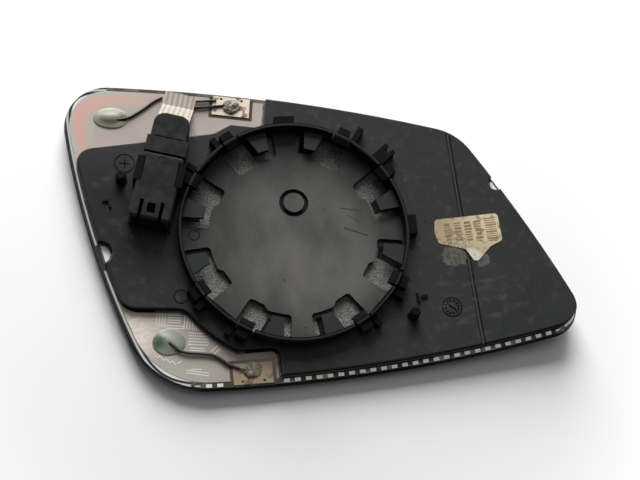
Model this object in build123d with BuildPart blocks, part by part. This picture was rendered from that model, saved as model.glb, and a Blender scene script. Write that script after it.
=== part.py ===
"""Back view assembly of a car door mirror glass, lying on its face.

A convex self-dimming cell of two lites carries a heater foil, and a black moulded carrier is glued to that.
The carrier's clip ring snaps onto the mirror actuator. Its centre, on the carrier's back face, is the origin.
+Z points out of the back, and +X runs along the lower edge towards the outboard end. Millimetres.
"""

import os
from math import asin, cos, degrees, pi, radians, sin, sqrt, tan

from build123d import *

os.makedirs("parts", exist_ok=True)

# Curvature of the mirror, measured on the carrier's back face
main_radius = 1400.0
outboard_radius = 420.0
outboard_start = 62.0

# Thickness of each layer, from the driver's side to the back
front_thickness = 1.8
gel_thickness = 0.2
rear_thickness = 1.7
heater_thickness = 0.2
adhesive_thickness = 0.4
carrier_thickness = 2.2
layer_gap = 0.05

# Sharp corners of the glass outline, as distances from the ring's centre
upper_left_reach = 75.3
upper_left_rise = 71.1
upper_right_reach = 70.5
upper_right_rise = 30.9
lower_right_reach = 100.9
lower_right_drop = 52.7
lower_left_reach = 58.4
lower_left_drop = 49.3

# Radii of the four bowed edges and of the rounded corners
upper_edge_radius = 520.0
right_edge_radius = 440.0
lower_edge_radius = 645.0
left_edge_radius = 320.0
upper_left_corner = 16.0
upper_right_corner = 22.0
lower_right_corner = 11.0
lower_left_corner = 30.0
ground_edge = 0.35
carrier_edge = 0.4

# How far each layer stays inside the outline
rear_inset = 0.5
seal_width = 2.6
clip_inset = 0.6
upper_clip_width = 1.1
lower_clip_width = 1.8
clip_to_heater = 0.3
carrier_inset = 1.1
carrier_left_room = 0.9
carrier_lower_room = 2.0
adhesive_proud = 0.8

# Contact strips on the rear glass and the row of windows in the lower one
upper_clip_left = 58.0
upper_clip_right = 60.0
lower_clip_left = 46.0
lower_clip_right = 91.0
lower_clip_drop = 37.0
window_pitch = 3.9
window_length = 2.0
window_width = 1.2

# Contact plates, placed by a station along their edge of the glass
upper_station = -12.0
lower_station = -24.5
plate_length = 14.0
plate_depth = 7.6
plate_thickness = 0.3
plate_edge_gap = 1.2
plate_hole = 1.0
plate_hole_spread = 7.7
plate_hole_depth = 1.0
foil_gap_at_plate = 1.2

# Clip ring on the carrier
ring_outer = 42.0
ring_wall = 1.3
ring_rim = 6.0
ring_flat_depth = 0.5
clip_count = 4
clip_turn = -6.0
ledge_reach = 7.6
ledge_near = 10.5
ledge_far = 21.5
ledge_top = 3.4
ledge_thickness = 1.5
ledge_taper = 1.6
opening_near = 6.5
opening_step = 23.0
opening_far = 37.0
opening_depth = 9.8
opening_extra = 1.6
opening_wall_gap = 0.2
opening_round = 1.4
hook_centre = 30.5
hook_width = 5.4
hook_reach = 2.4
hook_nose = 1.0
hook_under = 3.9
hook_slit = 0.8
hook_root = 1.8
hook_back = 3.0
hook_back_width = 4.4
hook_back_top = 5.2
lug_offset = 8.6
lug_length = 4.2
lug_width = 2.2
lug_top = 4.4
long_lug_length = 7.0
ear_angle = 32.4
ear_length = 8.0
ear_width = 4.8
ear_notch_depth = 2.6
ear_notch_width = 2.0
block_length = 3.2
block_width = 7.4
block_top = 4.8

# Other forms on the carrier
ring_margin = 6.5
shoulder_rise = 43.6
shoulder_round = 6.0
lower_shoulder_drop = 19.4
lower_shoulder_slope = 9.5
pocket_depth = 13.3
upper_pocket_side = 5.8
lower_pocket_side = 3.0
pocket_round = 3.0
margin_round = 7.0
left_notch_radius = 4.2
left_notch_rise = 3.3
right_notch_radius = 2.8
right_notch_rise = 7.6
gate_x = 2.5
gate_y = 12.0
gate_outer = 10.7
gate_inner = 7.6
gate_depth = 1.0
gate_proud = 0.4
hinge_groove_width = 1.0
hinge_groove_depth = 0.5
hinge_groove_top_x = 66.2
hinge_groove_low_x = 59.4
peg_diameter = 3.8
peg_top = 6.2
peg_chamfer = 0.5
peg_root = 0.4
peg_root_angle = 45.0
left_peg = (-58.3, 29.7)
right_peg = (36.5, -37.8)
rib_thickness = 0.9
rib_height = 1.0
left_rib = (-63.7, 21.3)
right_rib = (39.9, -31.5)
rib_leg = 3.4
rib_foot = 2.4

# Connector, along its own axis from the mouth to the rear cap
connector_x = -51.5
connector_y = 10.1
connector_turn = -21.7
seat_top = 1.6
seat_margin = 0.6
housing_width = 15.0
housing_height = 9.0
housing_length = 25.2
housing_wall = 1.4
housing_round = 1.2
housing_top_round = 1.0
socket_depth = 14.0
neck_length = 0.9
neck_inset = 0.8
collar_length = 6.0
cap_length = 10.3
cap_width = 13.2
cap_lower = 0.7
cap_round = 4.0
cap_groove_width = 10.4
cap_groove_length = 0.7
cap_groove_depth = 0.8
beam_slot_width = 1.3
beam_slot_length = 6.8
beam_slot_offset = 3.7
latch_window_width = 2.9
latch_window_length = 3.8
latch_window_start = 2.2
mark_radius = 1.3
mark_line = 0.25
mark_depth = 0.15
mark_setback = 2.4
arm_start = 13.6
arm_length = 9.6
arm_thickness = 1.2
arm_clearance = 0.15
arm_nose = 1.4
arm_nose_height = 1.6
arm_window_length = 5.6
arm_window_height = 4.4
arm_window_sill = 2.0
pin_count = 4
pin_pitch = 2.5
pin_size = 0.64
pin_length = 6.0

# Ribbon cable from the rear cap to the upper edge of the glass
ribbon_width = 11.8
ribbon_thickness = 0.8
ribbon_height = 3.2
ribbon_inside = 4.0
ribbon_drop_run = 5.6
ribbon_run = 13.0
ribbon_bend = 2.4
ribbon_clearance = 0.15

# Resin drops over the heater's terminals, and the solder on the contact plates
upper_drop = (-58.2, 55.5)
upper_drop_size = (13.6, 9.0)
lower_drop = (-51.0, -32.4)
lower_drop_size = (12.4, 10.4)
drop_turn = -7.0
drop_height = 0.5
drop_bevel = 0.3
drop_core_size = (8.0, 3.6)
drop_core_height = 1.5
drop_core_bevel = 0.7
lower_core_turn = -45.0
solder_size = (6.8, 5.6)
solder_height = 1.0
solder_bevel = 0.5
upper_solder_depth = 5.0
lower_solder_depth = 6.4

# Wires
upper_wire = 1.0
lower_wire = 1.1
conductor_share = 0.5
bare_end = 2.2
wire_gap = 0.05
bend_share = 0.45
lead_wire = 0.7
outer_lead_back = 1.4
outer_lead_end = (5.8, 3.2)
inner_lead_back = 4.2
inner_lead_end = (2.4, 5.0)
upper_route = [(-56.0, 54.5), (-51.8, 54.6), (-46.0, 57.4), (-41.4, 60.3), (-38.2, 61.4)]
lower_route = [(-51.0, -32.8), (-47.3, -37.0), (-41.0, -38.5), (-36.2, -39.7), (-31.8, -44.2), (-28.4, -46.0)]

# Torn paper label
label_corner = (53.0, -3.0)
label_length = 24.0
label_width = 12.6
label_turn = -3.5
label_thickness = 0.12
label_tear = 6.0
label_tear_start = 9.6
label_tear_tip = 12.5
label_tear_end = 19.2
label_right_width = 10.8
label_round = 1.5
label_ragged_side = 0.8
label_left_width = 9.5
label_bulge_drop = 5.0

# Heights in the stack, measured at the ring's centre
carrier_low = -carrier_thickness
adhesive_top = carrier_low - layer_gap
adhesive_low = adhesive_top - adhesive_thickness
foil_top = adhesive_low - layer_gap
foil_low = foil_top - heater_thickness
rear_top = foil_low - layer_gap
rear_low = rear_top - rear_thickness
gel_top = rear_low - layer_gap
gel_low = gel_top - gel_thickness
front_top = gel_low - layer_gap
front_low = front_top - front_thickness
on_foil = foil_top + layer_gap
plate_top = on_foil + plate_thickness
on_plate = plate_top + layer_gap

# Room round the outline for trimming shapes
far = 2 * max(lower_right_reach, upper_left_reach, upper_left_rise, lower_right_drop)
shell_reach = 0.7 * far
trim_plane = Plane.XY.offset(-far / 4)
trim_depth = far / 2

# A face looks up or down when its normal is at least this upright
upright = 0.9

# Angle from one clip axis to the next, and to the diagonal between them
clip_step = 360 / clip_count
clip_diagonal = clip_step / 2

upper_left = (-upper_left_reach, upper_left_rise)
upper_right = (upper_right_reach, upper_right_rise)
lower_right = (lower_right_reach, -lower_right_drop)
lower_left = (-lower_left_reach, -lower_left_drop)


def curve_point(angle, height):
    """Point of the lengthwise profile, from the main centre of curvature, on the layer at this height."""
    zone = asin(outboard_start / main_radius)
    if angle <= zone:
        radius = main_radius - height
        return (radius * sin(angle), -radius * cos(angle))
    shift = main_radius - outboard_radius
    radius = outboard_radius - height
    return (shift * sin(zone) + radius * sin(angle), -shift * cos(zone) - radius * cos(angle))


def curved_layer(low, high):
    """Shell between two heights of the stack: a sphere, then a torus in the outboard zone."""
    zone = asin(outboard_start / main_radius)
    start = -asin(shell_reach / main_radius)
    end = zone + asin((shell_reach - outboard_start) / outboard_radius)
    middle = (start + zone) / 2
    outer_middle = (zone + end) / 2
    sweep = 2 * degrees(asin(shell_reach / main_radius))
    centre = Plane((0, 0, main_radius), x_dir=(1, 0, 0), z_dir=(0, -1, 0))
    with BuildPart() as layer:
        with BuildSketch(centre.rotated((-sweep / 2, 0, 0))):
            with BuildLine():
                ThreePointArc(curve_point(start, low), curve_point(middle, low), curve_point(zone, low))
                ThreePointArc(curve_point(zone, low), curve_point(outer_middle, low), curve_point(end, low))
                Line(curve_point(end, low), curve_point(end, high))
                ThreePointArc(curve_point(end, high), curve_point(outer_middle, high), curve_point(zone, high))
                ThreePointArc(curve_point(zone, high), curve_point(middle, high), curve_point(start, high))
                Line(curve_point(start, high), curve_point(start, low))
            make_face()
        revolve(axis=Axis((0, 0, main_radius), (1, 0, 0)), revolution_arc=sweep)
    return layer.part


def height_at(x, y, height):
    """Z of the curved layer that lies at this height at the ring's centre."""
    zone = asin(outboard_start / main_radius)
    if x <= (main_radius - height) * sin(zone):
        profile = sqrt((main_radius - height) ** 2 - x**2)
    else:
        shift = main_radius - outboard_radius
        profile = shift * cos(zone) + sqrt((outboard_radius - height) ** 2 - (x - shift * sin(zone)) ** 2)
    return main_radius - sqrt(profile**2 - y**2)


def trim_to_layer(low, high):
    """Extrudes the pending outline and keeps what lies between two heights of the stack."""
    extrude(amount=trim_depth)
    add(curved_layer(low, high), mode=Mode.INTERSECT)


def arc_centre(start, end, radius):
    """Centre of an edge arc that bows out to the left of the way from start to end."""
    chord = Vector(*end) - Vector(*start)
    inward = Vector(chord.Y, -chord.X).normalized()
    return (Vector(*start) + Vector(*end)) / 2 + inward * sqrt(radius**2 - chord.length**2 / 4)


def glass_outline(inset):
    """Outline of the front glass, drawn in by an inset: four large discs overlap, and the corners are rounded."""
    edges = [
        (upper_left, upper_right, upper_edge_radius, upper_right_corner),
        (upper_right, lower_right, right_edge_radius, lower_right_corner),
        (lower_right, lower_left, lower_edge_radius, lower_left_corner),
        (lower_left, upper_left, left_edge_radius, upper_left_corner),
    ]
    with BuildSketch() as outline:
        Rectangle(2 * far, 2 * far)
        for start, end, radius, _ in edges:
            with Locations(arc_centre(start, end, radius)):
                Circle(radius - inset, mode=Mode.INTERSECT)
        for _, end, _, rounding in edges:
            fillet(outline.vertices().sort_by_distance((*end, 0))[0], rounding - inset)
    return outline.sketch


def shifted_outline(inset, left_room, lower_room):
    """Inset outline that also keeps extra room at the left and lower edges."""
    with BuildSketch() as outline:
        add(glass_outline(inset))
        with Locations((left_room, lower_room)):
            add(glass_outline(inset), mode=Mode.INTERSECT)
    return outline.sketch


def edge_plane(x, start, end, radius, upper):
    """Plane at a station of the upper or lower edge: local X along the edge, local Y into the glass."""
    centre = arc_centre(start, end, radius)
    side = 1 if upper else -1
    y = centre.Y + side * sqrt(radius**2 - (x - centre.X) ** 2)
    inward = Vector(centre.X - x, centre.Y - y).normalized()
    along = Vector(inward.Y, -inward.X)
    return Plane((x, y, 0), x_dir=(along.X, along.Y, 0), z_dir=(0, 0, 1))


def rim_of(faces):
    """Edges round a group of faces, without the edges that two of them share."""
    edges = [edge for face in faces for edge in face.edges()]
    return [edge for edge in edges if sum(edge.is_same(other) for other in edges) == 1]


def polar(radius, angle):
    """Point in the ring's plane from a radius and an angle in degrees."""
    return (radius * cos(radians(angle)), radius * sin(radians(angle)))


def route_radii(points):
    """Bend radii as large as the runs on both sides of each point allow."""
    radii = []
    for before, here, after in zip(points, points[1:], points[2:]):
        turn = radians((here - before).get_angle(after - here))
        shorter = min((here - before).length, (after - here).length)
        radii.append(bend_share * shorter / tan(turn / 2))
    return radii


def lay_route(route, height):
    """Points of a wire that lies at this height of the stack."""
    return [Vector(x, y, height_at(x, y, height)) for x, y in route]


def lengthen(points, first, last):
    """The same route with its first and last runs made longer."""
    start = points[0] + (points[0] - points[1]).normalized() * first
    end = points[-1] + (points[-1] - points[-2]).normalized() * last
    return [start, *points[1:-1], end]


def route_path(points):
    """Straight runs joined by tangent arcs."""
    with BuildLine() as path:
        FilletPolyline(*points, radius=route_radii(points))
    return path.wires()[0]


def wire_along(points, diameter, stranded=False):
    """Round wire along a route, or the six-sided bundle that seven strands make."""
    path = route_path(points)
    with BuildPart() as wire:
        with BuildSketch(path ^ 0):
            if stranded:
                RegularPolygon(diameter / 2, 6)
            else:
                Circle(diameter / 2)
        sweep(path=path)
    return wire.part


def resin_drop(centre, size, turn, low, high, bevel):
    """Oval pool or bead that lies on a layer of the stack, with a bevelled rim."""
    with BuildPart() as drop:
        with BuildSketch(trim_plane):
            with Locations(Location((*centre, 0), (0, 0, turn))):
                Ellipse(size[0] / 2, size[1] / 2)
        trim_to_layer(low, high)
        chamfer(drop.faces().sort_by(Axis.Z)[-1].edges(), bevel)
    return drop.part


upper_plane = edge_plane(upper_station, upper_left, upper_right, upper_edge_radius, True)
lower_plane = edge_plane(lower_station, lower_right, lower_left, lower_edge_radius, False)
connector_plane = Plane(
    (connector_x, connector_y, seat_top),
    x_dir=(cos(radians(connector_turn)), sin(radians(connector_turn)), 0),
    z_dir=(0, 0, 1),
)


# Front glass
with BuildPart() as front_glass:
    with BuildSketch(trim_plane):
        add(glass_outline(0))
    trim_to_layer(front_low, front_top)
    chamfer(rim_of(front_glass.faces().filter_by(lambda face: face.normal_at().Z < -upright)), ground_edge)

# Edge seal between the lites, and the gel that it closes in
with BuildPart() as edge_seal:
    with BuildSketch(trim_plane):
        add(glass_outline(rear_inset))
        add(glass_outline(rear_inset + seal_width), mode=Mode.SUBTRACT)
    trim_to_layer(gel_low, gel_top)

with BuildPart() as dimming_gel:
    with BuildSketch(trim_plane):
        add(glass_outline(rear_inset + seal_width + layer_gap))
    trim_to_layer(gel_low, gel_top)

# Rear glass
with BuildPart() as rear_glass:
    with BuildSketch(trim_plane):
        add(glass_outline(rear_inset))
    trim_to_layer(rear_low, rear_top)

# Contact strips along the upper and lower edges of the rear glass
with BuildPart() as upper_bus_clip:
    with BuildSketch(trim_plane):
        add(glass_outline(clip_inset))
        add(glass_outline(clip_inset + upper_clip_width), mode=Mode.SUBTRACT)
        with Locations((-upper_clip_left, 0)):
            Rectangle(upper_clip_left + upper_clip_right, far, align=Align.MIN, mode=Mode.INTERSECT)
    trim_to_layer(foil_low, foil_top)

lower_clip_middle = clip_inset + lower_clip_width / 2
window_count = int((lower_clip_left + lower_clip_right) / window_pitch)
with BuildPart() as lower_bus_clip:
    with BuildSketch(trim_plane):
        add(glass_outline(clip_inset))
        add(glass_outline(clip_inset + lower_clip_width), mode=Mode.SUBTRACT)
        with Locations((-lower_clip_left, -lower_clip_drop)):
            Rectangle(
                lower_clip_left + lower_clip_right, far, align=(Align.MIN, Align.MAX), mode=Mode.INTERSECT
            )
        for index in range(window_count):
            x = (index + 0.5) * window_pitch - lower_clip_left
            if abs(x - lower_station) > plate_length / 2 + window_length:
                station = edge_plane(x, lower_right, lower_left, lower_edge_radius, False)
                with Locations(station.location):
                    with Locations((0, lower_clip_middle)):
                        Rectangle(window_length, window_width, mode=Mode.SUBTRACT)
    trim_to_layer(foil_low, foil_top)

# Heater foil, cut back round the contact plates
heater_inset = clip_inset + upper_clip_width + clip_to_heater
foil_gap_length = plate_length + 2 * foil_gap_at_plate
foil_gap_depth = plate_edge_gap + plate_depth + foil_gap_at_plate
with BuildPart() as heater_foil:
    with BuildSketch(trim_plane):
        add(shifted_outline(heater_inset, 0, lower_clip_width - upper_clip_width))
        with Locations(upper_plane.location, lower_plane.location):
            Rectangle(foil_gap_length, 2 * foil_gap_depth, mode=Mode.SUBTRACT)
    trim_to_layer(foil_low, foil_top)

# Contact plates, soldered on the strips
contact_plates = []
for plane in (upper_plane, lower_plane):
    with BuildPart() as contact_plate:
        with BuildSketch(trim_plane):
            with Locations(plane.location):
                with Locations((0, plate_edge_gap)):
                    Rectangle(plate_length, plate_depth, align=(Align.CENTER, Align.MIN))
                with Locations((0, plate_edge_gap + plate_hole_depth)):
                    with GridLocations(plate_hole_spread, 1, 2, 1):
                        Circle(plate_hole / 2, mode=Mode.SUBTRACT)
        trim_to_layer(on_foil, plate_top)
    contact_plates.append(contact_plate.part)
upper_contact_plate, lower_contact_plate = contact_plates


def carrier_outline(proud):
    """Glass outline less the two foil areas, with a margin round the ring; proud widens it over the foil."""
    margin = ring_outer + ring_margin + proud
    upper_rise = shoulder_rise + proud
    slope = tan(radians(lower_shoulder_slope))
    outer_drop = lower_shoulder_drop + proud - slope * (far - lower_left_reach)
    inner_drop = lower_shoulder_drop + proud + slope * (lower_left_reach - ring_outer)
    upper_side = plate_length / 2 + upper_pocket_side - proud
    lower_side = plate_length / 2 + lower_pocket_side - proud
    depth = pocket_depth - proud
    upper_corner = upper_plane.from_local_coords((-upper_side, depth, 0))
    lower_corner = lower_plane.from_local_coords((lower_side, depth, 0))
    with BuildSketch() as outline:
        add(shifted_outline(carrier_inset, carrier_left_room, carrier_lower_room))
        Polygon(
            (-far, upper_rise),
            (upper_station, upper_rise),
            (upper_station, far),
            (-far, far),
            align=None,
            mode=Mode.SUBTRACT,
        )
        Polygon(
            (-far, -outer_drop),
            (-ring_outer, -inner_drop),
            (lower_station, -ring_outer),
            (lower_station, -far),
            (-far, -far),
            align=None,
            mode=Mode.SUBTRACT,
        )
        Circle(margin)
        with Locations(upper_plane.location):
            with Locations((-upper_side, depth)):
                Rectangle(far, far / 2, align=(Align.MIN, Align.MAX), mode=Mode.SUBTRACT)
        with Locations(lower_plane.location):
            with Locations((lower_side, depth)):
                Rectangle(far, far / 2, align=Align.MAX, mode=Mode.SUBTRACT)
        rounded = {
            (-upper_left_reach, upper_rise): shoulder_round + proud,
            (-sqrt(margin**2 - upper_rise**2), upper_rise): margin_round - proud,
            (upper_corner.X, upper_corner.Y): pocket_round - proud,
            (lower_corner.X, lower_corner.Y): pocket_round - proud,
            (-ring_outer, -inner_drop): margin_round - proud,
            (-lower_left_reach - carrier_lower_room, -lower_shoulder_drop): margin_round + proud,
        }
        for corner, radius in rounded.items():
            fillet(outline.vertices().sort_by_distance((*corner, 0))[0], radius)
        left = arc_centre(lower_left, upper_left, left_edge_radius)
        left_x = left.X - sqrt(left_edge_radius**2 - (left_notch_rise - left.Y) ** 2)
        right = arc_centre(upper_right, lower_right, right_edge_radius)
        right_x = right.X + sqrt(right_edge_radius**2 - (right_notch_rise - right.Y) ** 2)
        with Locations((left_x + carrier_inset + carrier_left_room, left_notch_rise)):
            Circle(left_notch_radius - proud, mode=Mode.SUBTRACT)
        with Locations((right_x - carrier_inset, right_notch_rise)):
            Circle(right_notch_radius - proud, mode=Mode.SUBTRACT)
    return outline.sketch


# Adhesive sheet between the heater foil and the carrier
with BuildPart() as adhesive_sheet:
    with BuildSketch(trim_plane):
        add(carrier_outline(adhesive_proud))
    trim_to_layer(adhesive_low, adhesive_top)


def groove_cut():
    """Channel along the line where the outboard zone begins."""
    with BuildPart() as groove:
        with BuildSketch(trim_plane):
            with BuildLine():
                Line((hinge_groove_top_x, upper_right_rise), (hinge_groove_low_x, -lower_right_drop))
            trace(line_width=hinge_groove_width)
        trim_to_layer(-hinge_groove_depth, hinge_groove_depth)
    return groove.part


def ring_openings():
    """Pair of openings under the ledges and hooks beside one clip axis, deeper on the hook side."""
    outer = ring_inner - opening_wall_gap
    shallow = ring_inner - opening_depth
    deep = shallow - opening_extra
    step = opening_step + degrees(opening_extra / deep)
    middle = (opening_near + opening_far) / 2
    with BuildSketch() as opening:
        with BuildLine():
            Line(polar(outer, opening_near), polar(shallow, opening_near))
            ThreePointArc(
                polar(shallow, opening_near),
                polar(shallow, (opening_near + opening_step) / 2),
                polar(shallow, opening_step),
            )
            Line(polar(shallow, opening_step), polar(deep, step))
            ThreePointArc(
                polar(deep, step), polar(deep, (step + opening_far) / 2), polar(deep, opening_far)
            )
            Line(polar(deep, opening_far), polar(outer, opening_far))
            ThreePointArc(polar(outer, opening_far), polar(outer, middle), polar(outer, opening_near))
        make_face()
        fillet(opening.vertices(), opening_round)
        mirror(about=Plane.XZ)
    return opening.sketch


def ring_wall_outline(radius):
    """Circle with a flat across each of the four diagonals."""
    with BuildSketch() as outline:
        Circle(radius)
        flats = 2 * (radius - ring_flat_depth)
        Rectangle(flats, flats, rotation=clip_turn + clip_diagonal, mode=Mode.INTERSECT)
    return outline.sketch


def clip_angles(offset_angle):
    """The angles on both sides of each of the four clip axes."""
    axes = [clip_turn + clip_step * index for index in range(clip_count)]
    return [axis + side * offset_angle for axis in axes for side in (-1, 1)]


def radial_plane(angle):
    """Upright plane through the ring's axis: local X outwards, local Y up."""
    outward = Vector(cos(radians(angle)), sin(radians(angle)), 0)
    return Plane((0, 0, 0), x_dir=outward, z_dir=(outward.Y, -outward.X, 0))


ring_inner = ring_outer - ring_wall
arm_centre = (housing_width + arm_thickness) / 2 + arm_clearance
arm_middle = arm_start + arm_length / 2
seat_length = housing_length + neck_length + collar_length / 2


def stand_on_plate(top):
    """Extrudes the pending outline from inside the stack up to a height."""
    extrude(amount=top - trim_plane.origin.Z)


# Upright forms that stand on the carrier, with their feet in the plate
with BuildPart() as carrier_uprights:
    with BuildSketch(trim_plane):
        add(ring_wall_outline(ring_outer))
        add(ring_wall_outline(ring_inner), mode=Mode.SUBTRACT)
    stand_on_plate(ring_rim)
    with BuildSketch(trim_plane):
        for angle in clip_angles(clip_diagonal - lug_offset):
            with Locations(Location((*polar(ring_inner, angle), 0), (0, 0, angle))):
                Rectangle(ring_wall + lug_length, lug_width, align=(Align.MIN, Align.CENTER))
        angle = clip_turn + clip_diagonal + lug_offset
        with Locations(Location((*polar(ring_inner, angle), 0), (0, 0, angle))):
            Rectangle(ring_wall + long_lug_length, lug_width, align=(Align.MIN, Align.CENTER))
        with Locations(Location((*polar(ring_inner, ear_angle), 0), (0, 0, ear_angle))):
            Rectangle(ring_wall + ear_length, ear_width, align=(Align.MIN, Align.CENTER))
            with Locations((ring_wall + ear_length, 0)):
                Rectangle(2 * ear_notch_depth, ear_notch_width, mode=Mode.SUBTRACT)
    stand_on_plate(lug_top)
    with BuildSketch(trim_plane):
        for angle in clip_angles(hook_centre):
            with Locations(Location((*polar(ring_inner, angle), 0), (0, 0, angle))):
                Rectangle(ring_wall + hook_back, hook_back_width, align=(Align.MIN, Align.CENTER))
    stand_on_plate(hook_back_top)
    with BuildSketch(trim_plane):
        for angle in (clip_turn, clip_turn + clip_step):
            with Locations(Location((*polar(ring_inner, angle), 0), (0, 0, angle))):
                Rectangle(ring_wall + block_length, block_width, align=(Align.MIN, Align.CENTER))
    stand_on_plate(block_top)
    with BuildSketch(trim_plane):
        with Locations(left_peg, right_peg):
            Circle(peg_diameter / 2)
    stand_on_plate(peg_top)
    chamfer(carrier_uprights.faces().sort_by(Axis.Z)[-2:].edges(), peg_chamfer)
    for peg in (left_peg, right_peg):
        with BuildSketch(Plane.XY.offset(height_at(*peg, -peg_root))):
            with Locations(peg):
                Circle(peg_diameter / 2 + 2 * peg_root)
        extrude(amount=2 * peg_root, taper=peg_root_angle)
    with BuildSketch(trim_plane):
        with Locations(connector_plane.location):
            with Locations((0, seat_length / 2)):
                Rectangle(housing_width + 2 * seat_margin, seat_length)
    stand_on_plate(seat_top)
    with BuildSketch(trim_plane):
        with Locations(connector_plane.location):
            with Locations((-arm_centre, arm_middle), (arm_centre, arm_middle)):
                Rectangle(arm_thickness, arm_length - 2 * arm_clearance)
    stand_on_plate(seat_top + housing_height)
    with BuildSketch(trim_plane):
        with Locations(left_rib):
            Rectangle(rib_thickness, rib_leg)
            with Locations((0, rib_leg / 2)):
                Rectangle(rib_foot, rib_thickness, align=Align.MAX)
    stand_on_plate(height_at(*left_rib, rib_height))
    with BuildSketch(trim_plane):
        with Locations(right_rib):
            Rectangle(rib_thickness, rib_leg)
            with Locations((rib_foot / 2, 0)):
                Rectangle(rib_foot, rib_thickness, align=(Align.MIN, Align.CENTER))
    stand_on_plate(height_at(*right_rib, rib_height))
    add(curved_layer(carrier_low / 2, far / 8), mode=Mode.INTERSECT)

# Carrier: curved plate, uprights, ledges and snap hooks in one moulding
with BuildPart() as carrier_plate:
    with BuildSketch(trim_plane):
        add(carrier_outline(0))
    trim_to_layer(carrier_low, 0)
    chamfer(rim_of(carrier_plate.faces().filter_by(lambda face: face.normal_at().Z > upright)), carrier_edge)
    with BuildSketch(trim_plane):
        with PolarLocations(0, clip_count, start_angle=clip_turn):
            add(ring_openings())
    extrude(amount=trim_depth, mode=Mode.SUBTRACT)
    add(groove_cut(), mode=Mode.SUBTRACT)
    with BuildSketch(Plane.XY.offset(height_at(gate_x, gate_y, -gate_depth))):
        with Locations((gate_x, gate_y)):
            Circle(gate_outer / 2)
    extrude(amount=2 * gate_depth, mode=Mode.SUBTRACT)
    with BuildSketch(Plane.XY.offset(height_at(gate_x, gate_y, carrier_low / 2))):
        with Locations((gate_x, gate_y)):
            Circle(gate_inner / 2)
    extrude(amount=carrier_thickness / 2 + gate_proud)
    add(carrier_uprights.part)
    for angle in clip_angles(hook_centre):
        with BuildSketch(Plane.XY.offset(hook_root)):
            with Locations(Location((*polar(ring_inner + ring_wall / 2, angle), 0), (0, 0, angle))):
                with GridLocations(1, hook_width + hook_slit, 1, 2):
                    Rectangle(2 * ring_wall, hook_slit)
    extrude(amount=ring_rim, mode=Mode.SUBTRACT)
    with BuildSketch(Plane.XY.offset(ledge_top)):
        with PolarLocations(0, clip_count, start_angle=clip_turn):
            inner = ring_inner - ledge_reach
            taper = degrees(ledge_taper / inner)
            middle = ring_inner + ring_wall / 2
            for side in (-1, 1):
                Polygon(
                    polar(middle, side * ledge_near), polar(middle, side * ledge_far),
                    polar(inner, side * (ledge_far - taper)), polar(inner, side * (ledge_near + taper / 3)),
                    align=None,
                )
    extrude(amount=-ledge_thickness)
    for angle in clip_angles(hook_centre):
        with BuildSketch(radial_plane(angle)):
            Polygon(
                (ring_inner + ring_wall / 2, hook_under - hook_nose),
                (ring_inner + ring_wall / 2, ring_rim),
                (ring_inner - ring_wall / 4, ring_rim),
                (ring_inner - hook_reach, hook_under + hook_nose),
                (ring_inner - hook_reach, hook_under),
                align=None,
            )
        extrude(amount=hook_width / 2, both=True)
    for side in (-1, 1):
        with BuildSketch(connector_plane.offset(housing_height)):
            with Locations((side * (housing_width / 2 + arm_clearance + arm_thickness / 2), arm_middle)):
                Rectangle(
                    arm_nose + arm_thickness / 2,
                    arm_length - 2 * arm_clearance,
                    align=(Align.MAX if side > 0 else Align.MIN, Align.CENTER),
                )
    extrude(amount=arm_clearance - arm_nose_height)
    with BuildSketch(connector_plane.offset(arm_window_sill)):
        with Locations((-arm_centre, arm_middle), (arm_centre, arm_middle)):
            Rectangle(arm_thickness + arm_clearance, arm_window_length)
    extrude(amount=arm_window_height, mode=Mode.SUBTRACT)

# Connector housing with its socket, locking beam and the notches that the carrier's arms grip
with BuildPart() as connector_housing:
    with BuildSketch(connector_plane):
        Rectangle(housing_width, housing_length, align=(Align.CENTER, Align.MIN))
    extrude(amount=housing_height)
    fillet(connector_housing.edges().filter_by(Axis.Z), housing_round)
    fillet(connector_housing.faces().sort_by(Axis.Z)[-1].edges(), housing_top_round)
    with BuildSketch(connector_plane):
        with Locations((0, housing_length - housing_round)):
            Rectangle(
                housing_width - 2 * neck_inset, neck_length + housing_round, align=(Align.CENTER, Align.MIN)
            )
    extrude(amount=housing_height - cap_lower - neck_inset)
    with BuildSketch(connector_plane.offset(housing_wall)):
        Rectangle(housing_width - 2 * housing_wall, socket_depth, align=(Align.CENTER, Align.MIN))
    extrude(amount=housing_height - 2 * housing_wall, mode=Mode.SUBTRACT)
    with BuildSketch(connector_plane.offset(housing_height)):
        with Locations((-beam_slot_offset, 0), (beam_slot_offset, 0)):
            Rectangle(beam_slot_width, beam_slot_length, align=(Align.CENTER, Align.MIN))
        with Locations((0, latch_window_start)):
            Rectangle(latch_window_width, latch_window_length, align=(Align.CENTER, Align.MIN))
    extrude(amount=-2 * housing_wall, mode=Mode.SUBTRACT)
    with BuildSketch(connector_plane.offset(housing_height)):
        with Locations((-housing_width / 2, arm_middle), (housing_width / 2, arm_middle)):
            Rectangle(2 * (arm_nose + arm_clearance), arm_length)
    extrude(amount=-arm_nose_height, mode=Mode.SUBTRACT)
    with BuildSketch(connector_plane.offset(housing_height)):
        with Locations((0, housing_length - mark_setback)):
            Circle(mark_radius)
            Circle(mark_radius - mark_line, mode=Mode.SUBTRACT)
    extrude(amount=-mark_depth, mode=Mode.SUBTRACT)

contact_pins = []
for index in range(pin_count):
    with BuildPart() as contact_pin:
        with BuildSketch(connector_plane.offset((housing_height - pin_size) / 2)):
            with Locations(((index - (pin_count - 1) / 2) * pin_pitch, socket_depth)):
                Rectangle(pin_size, pin_length, align=(Align.CENTER, Align.MAX))
        extrude(amount=pin_size)
    contact_pins.append(contact_pin.part)

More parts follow.
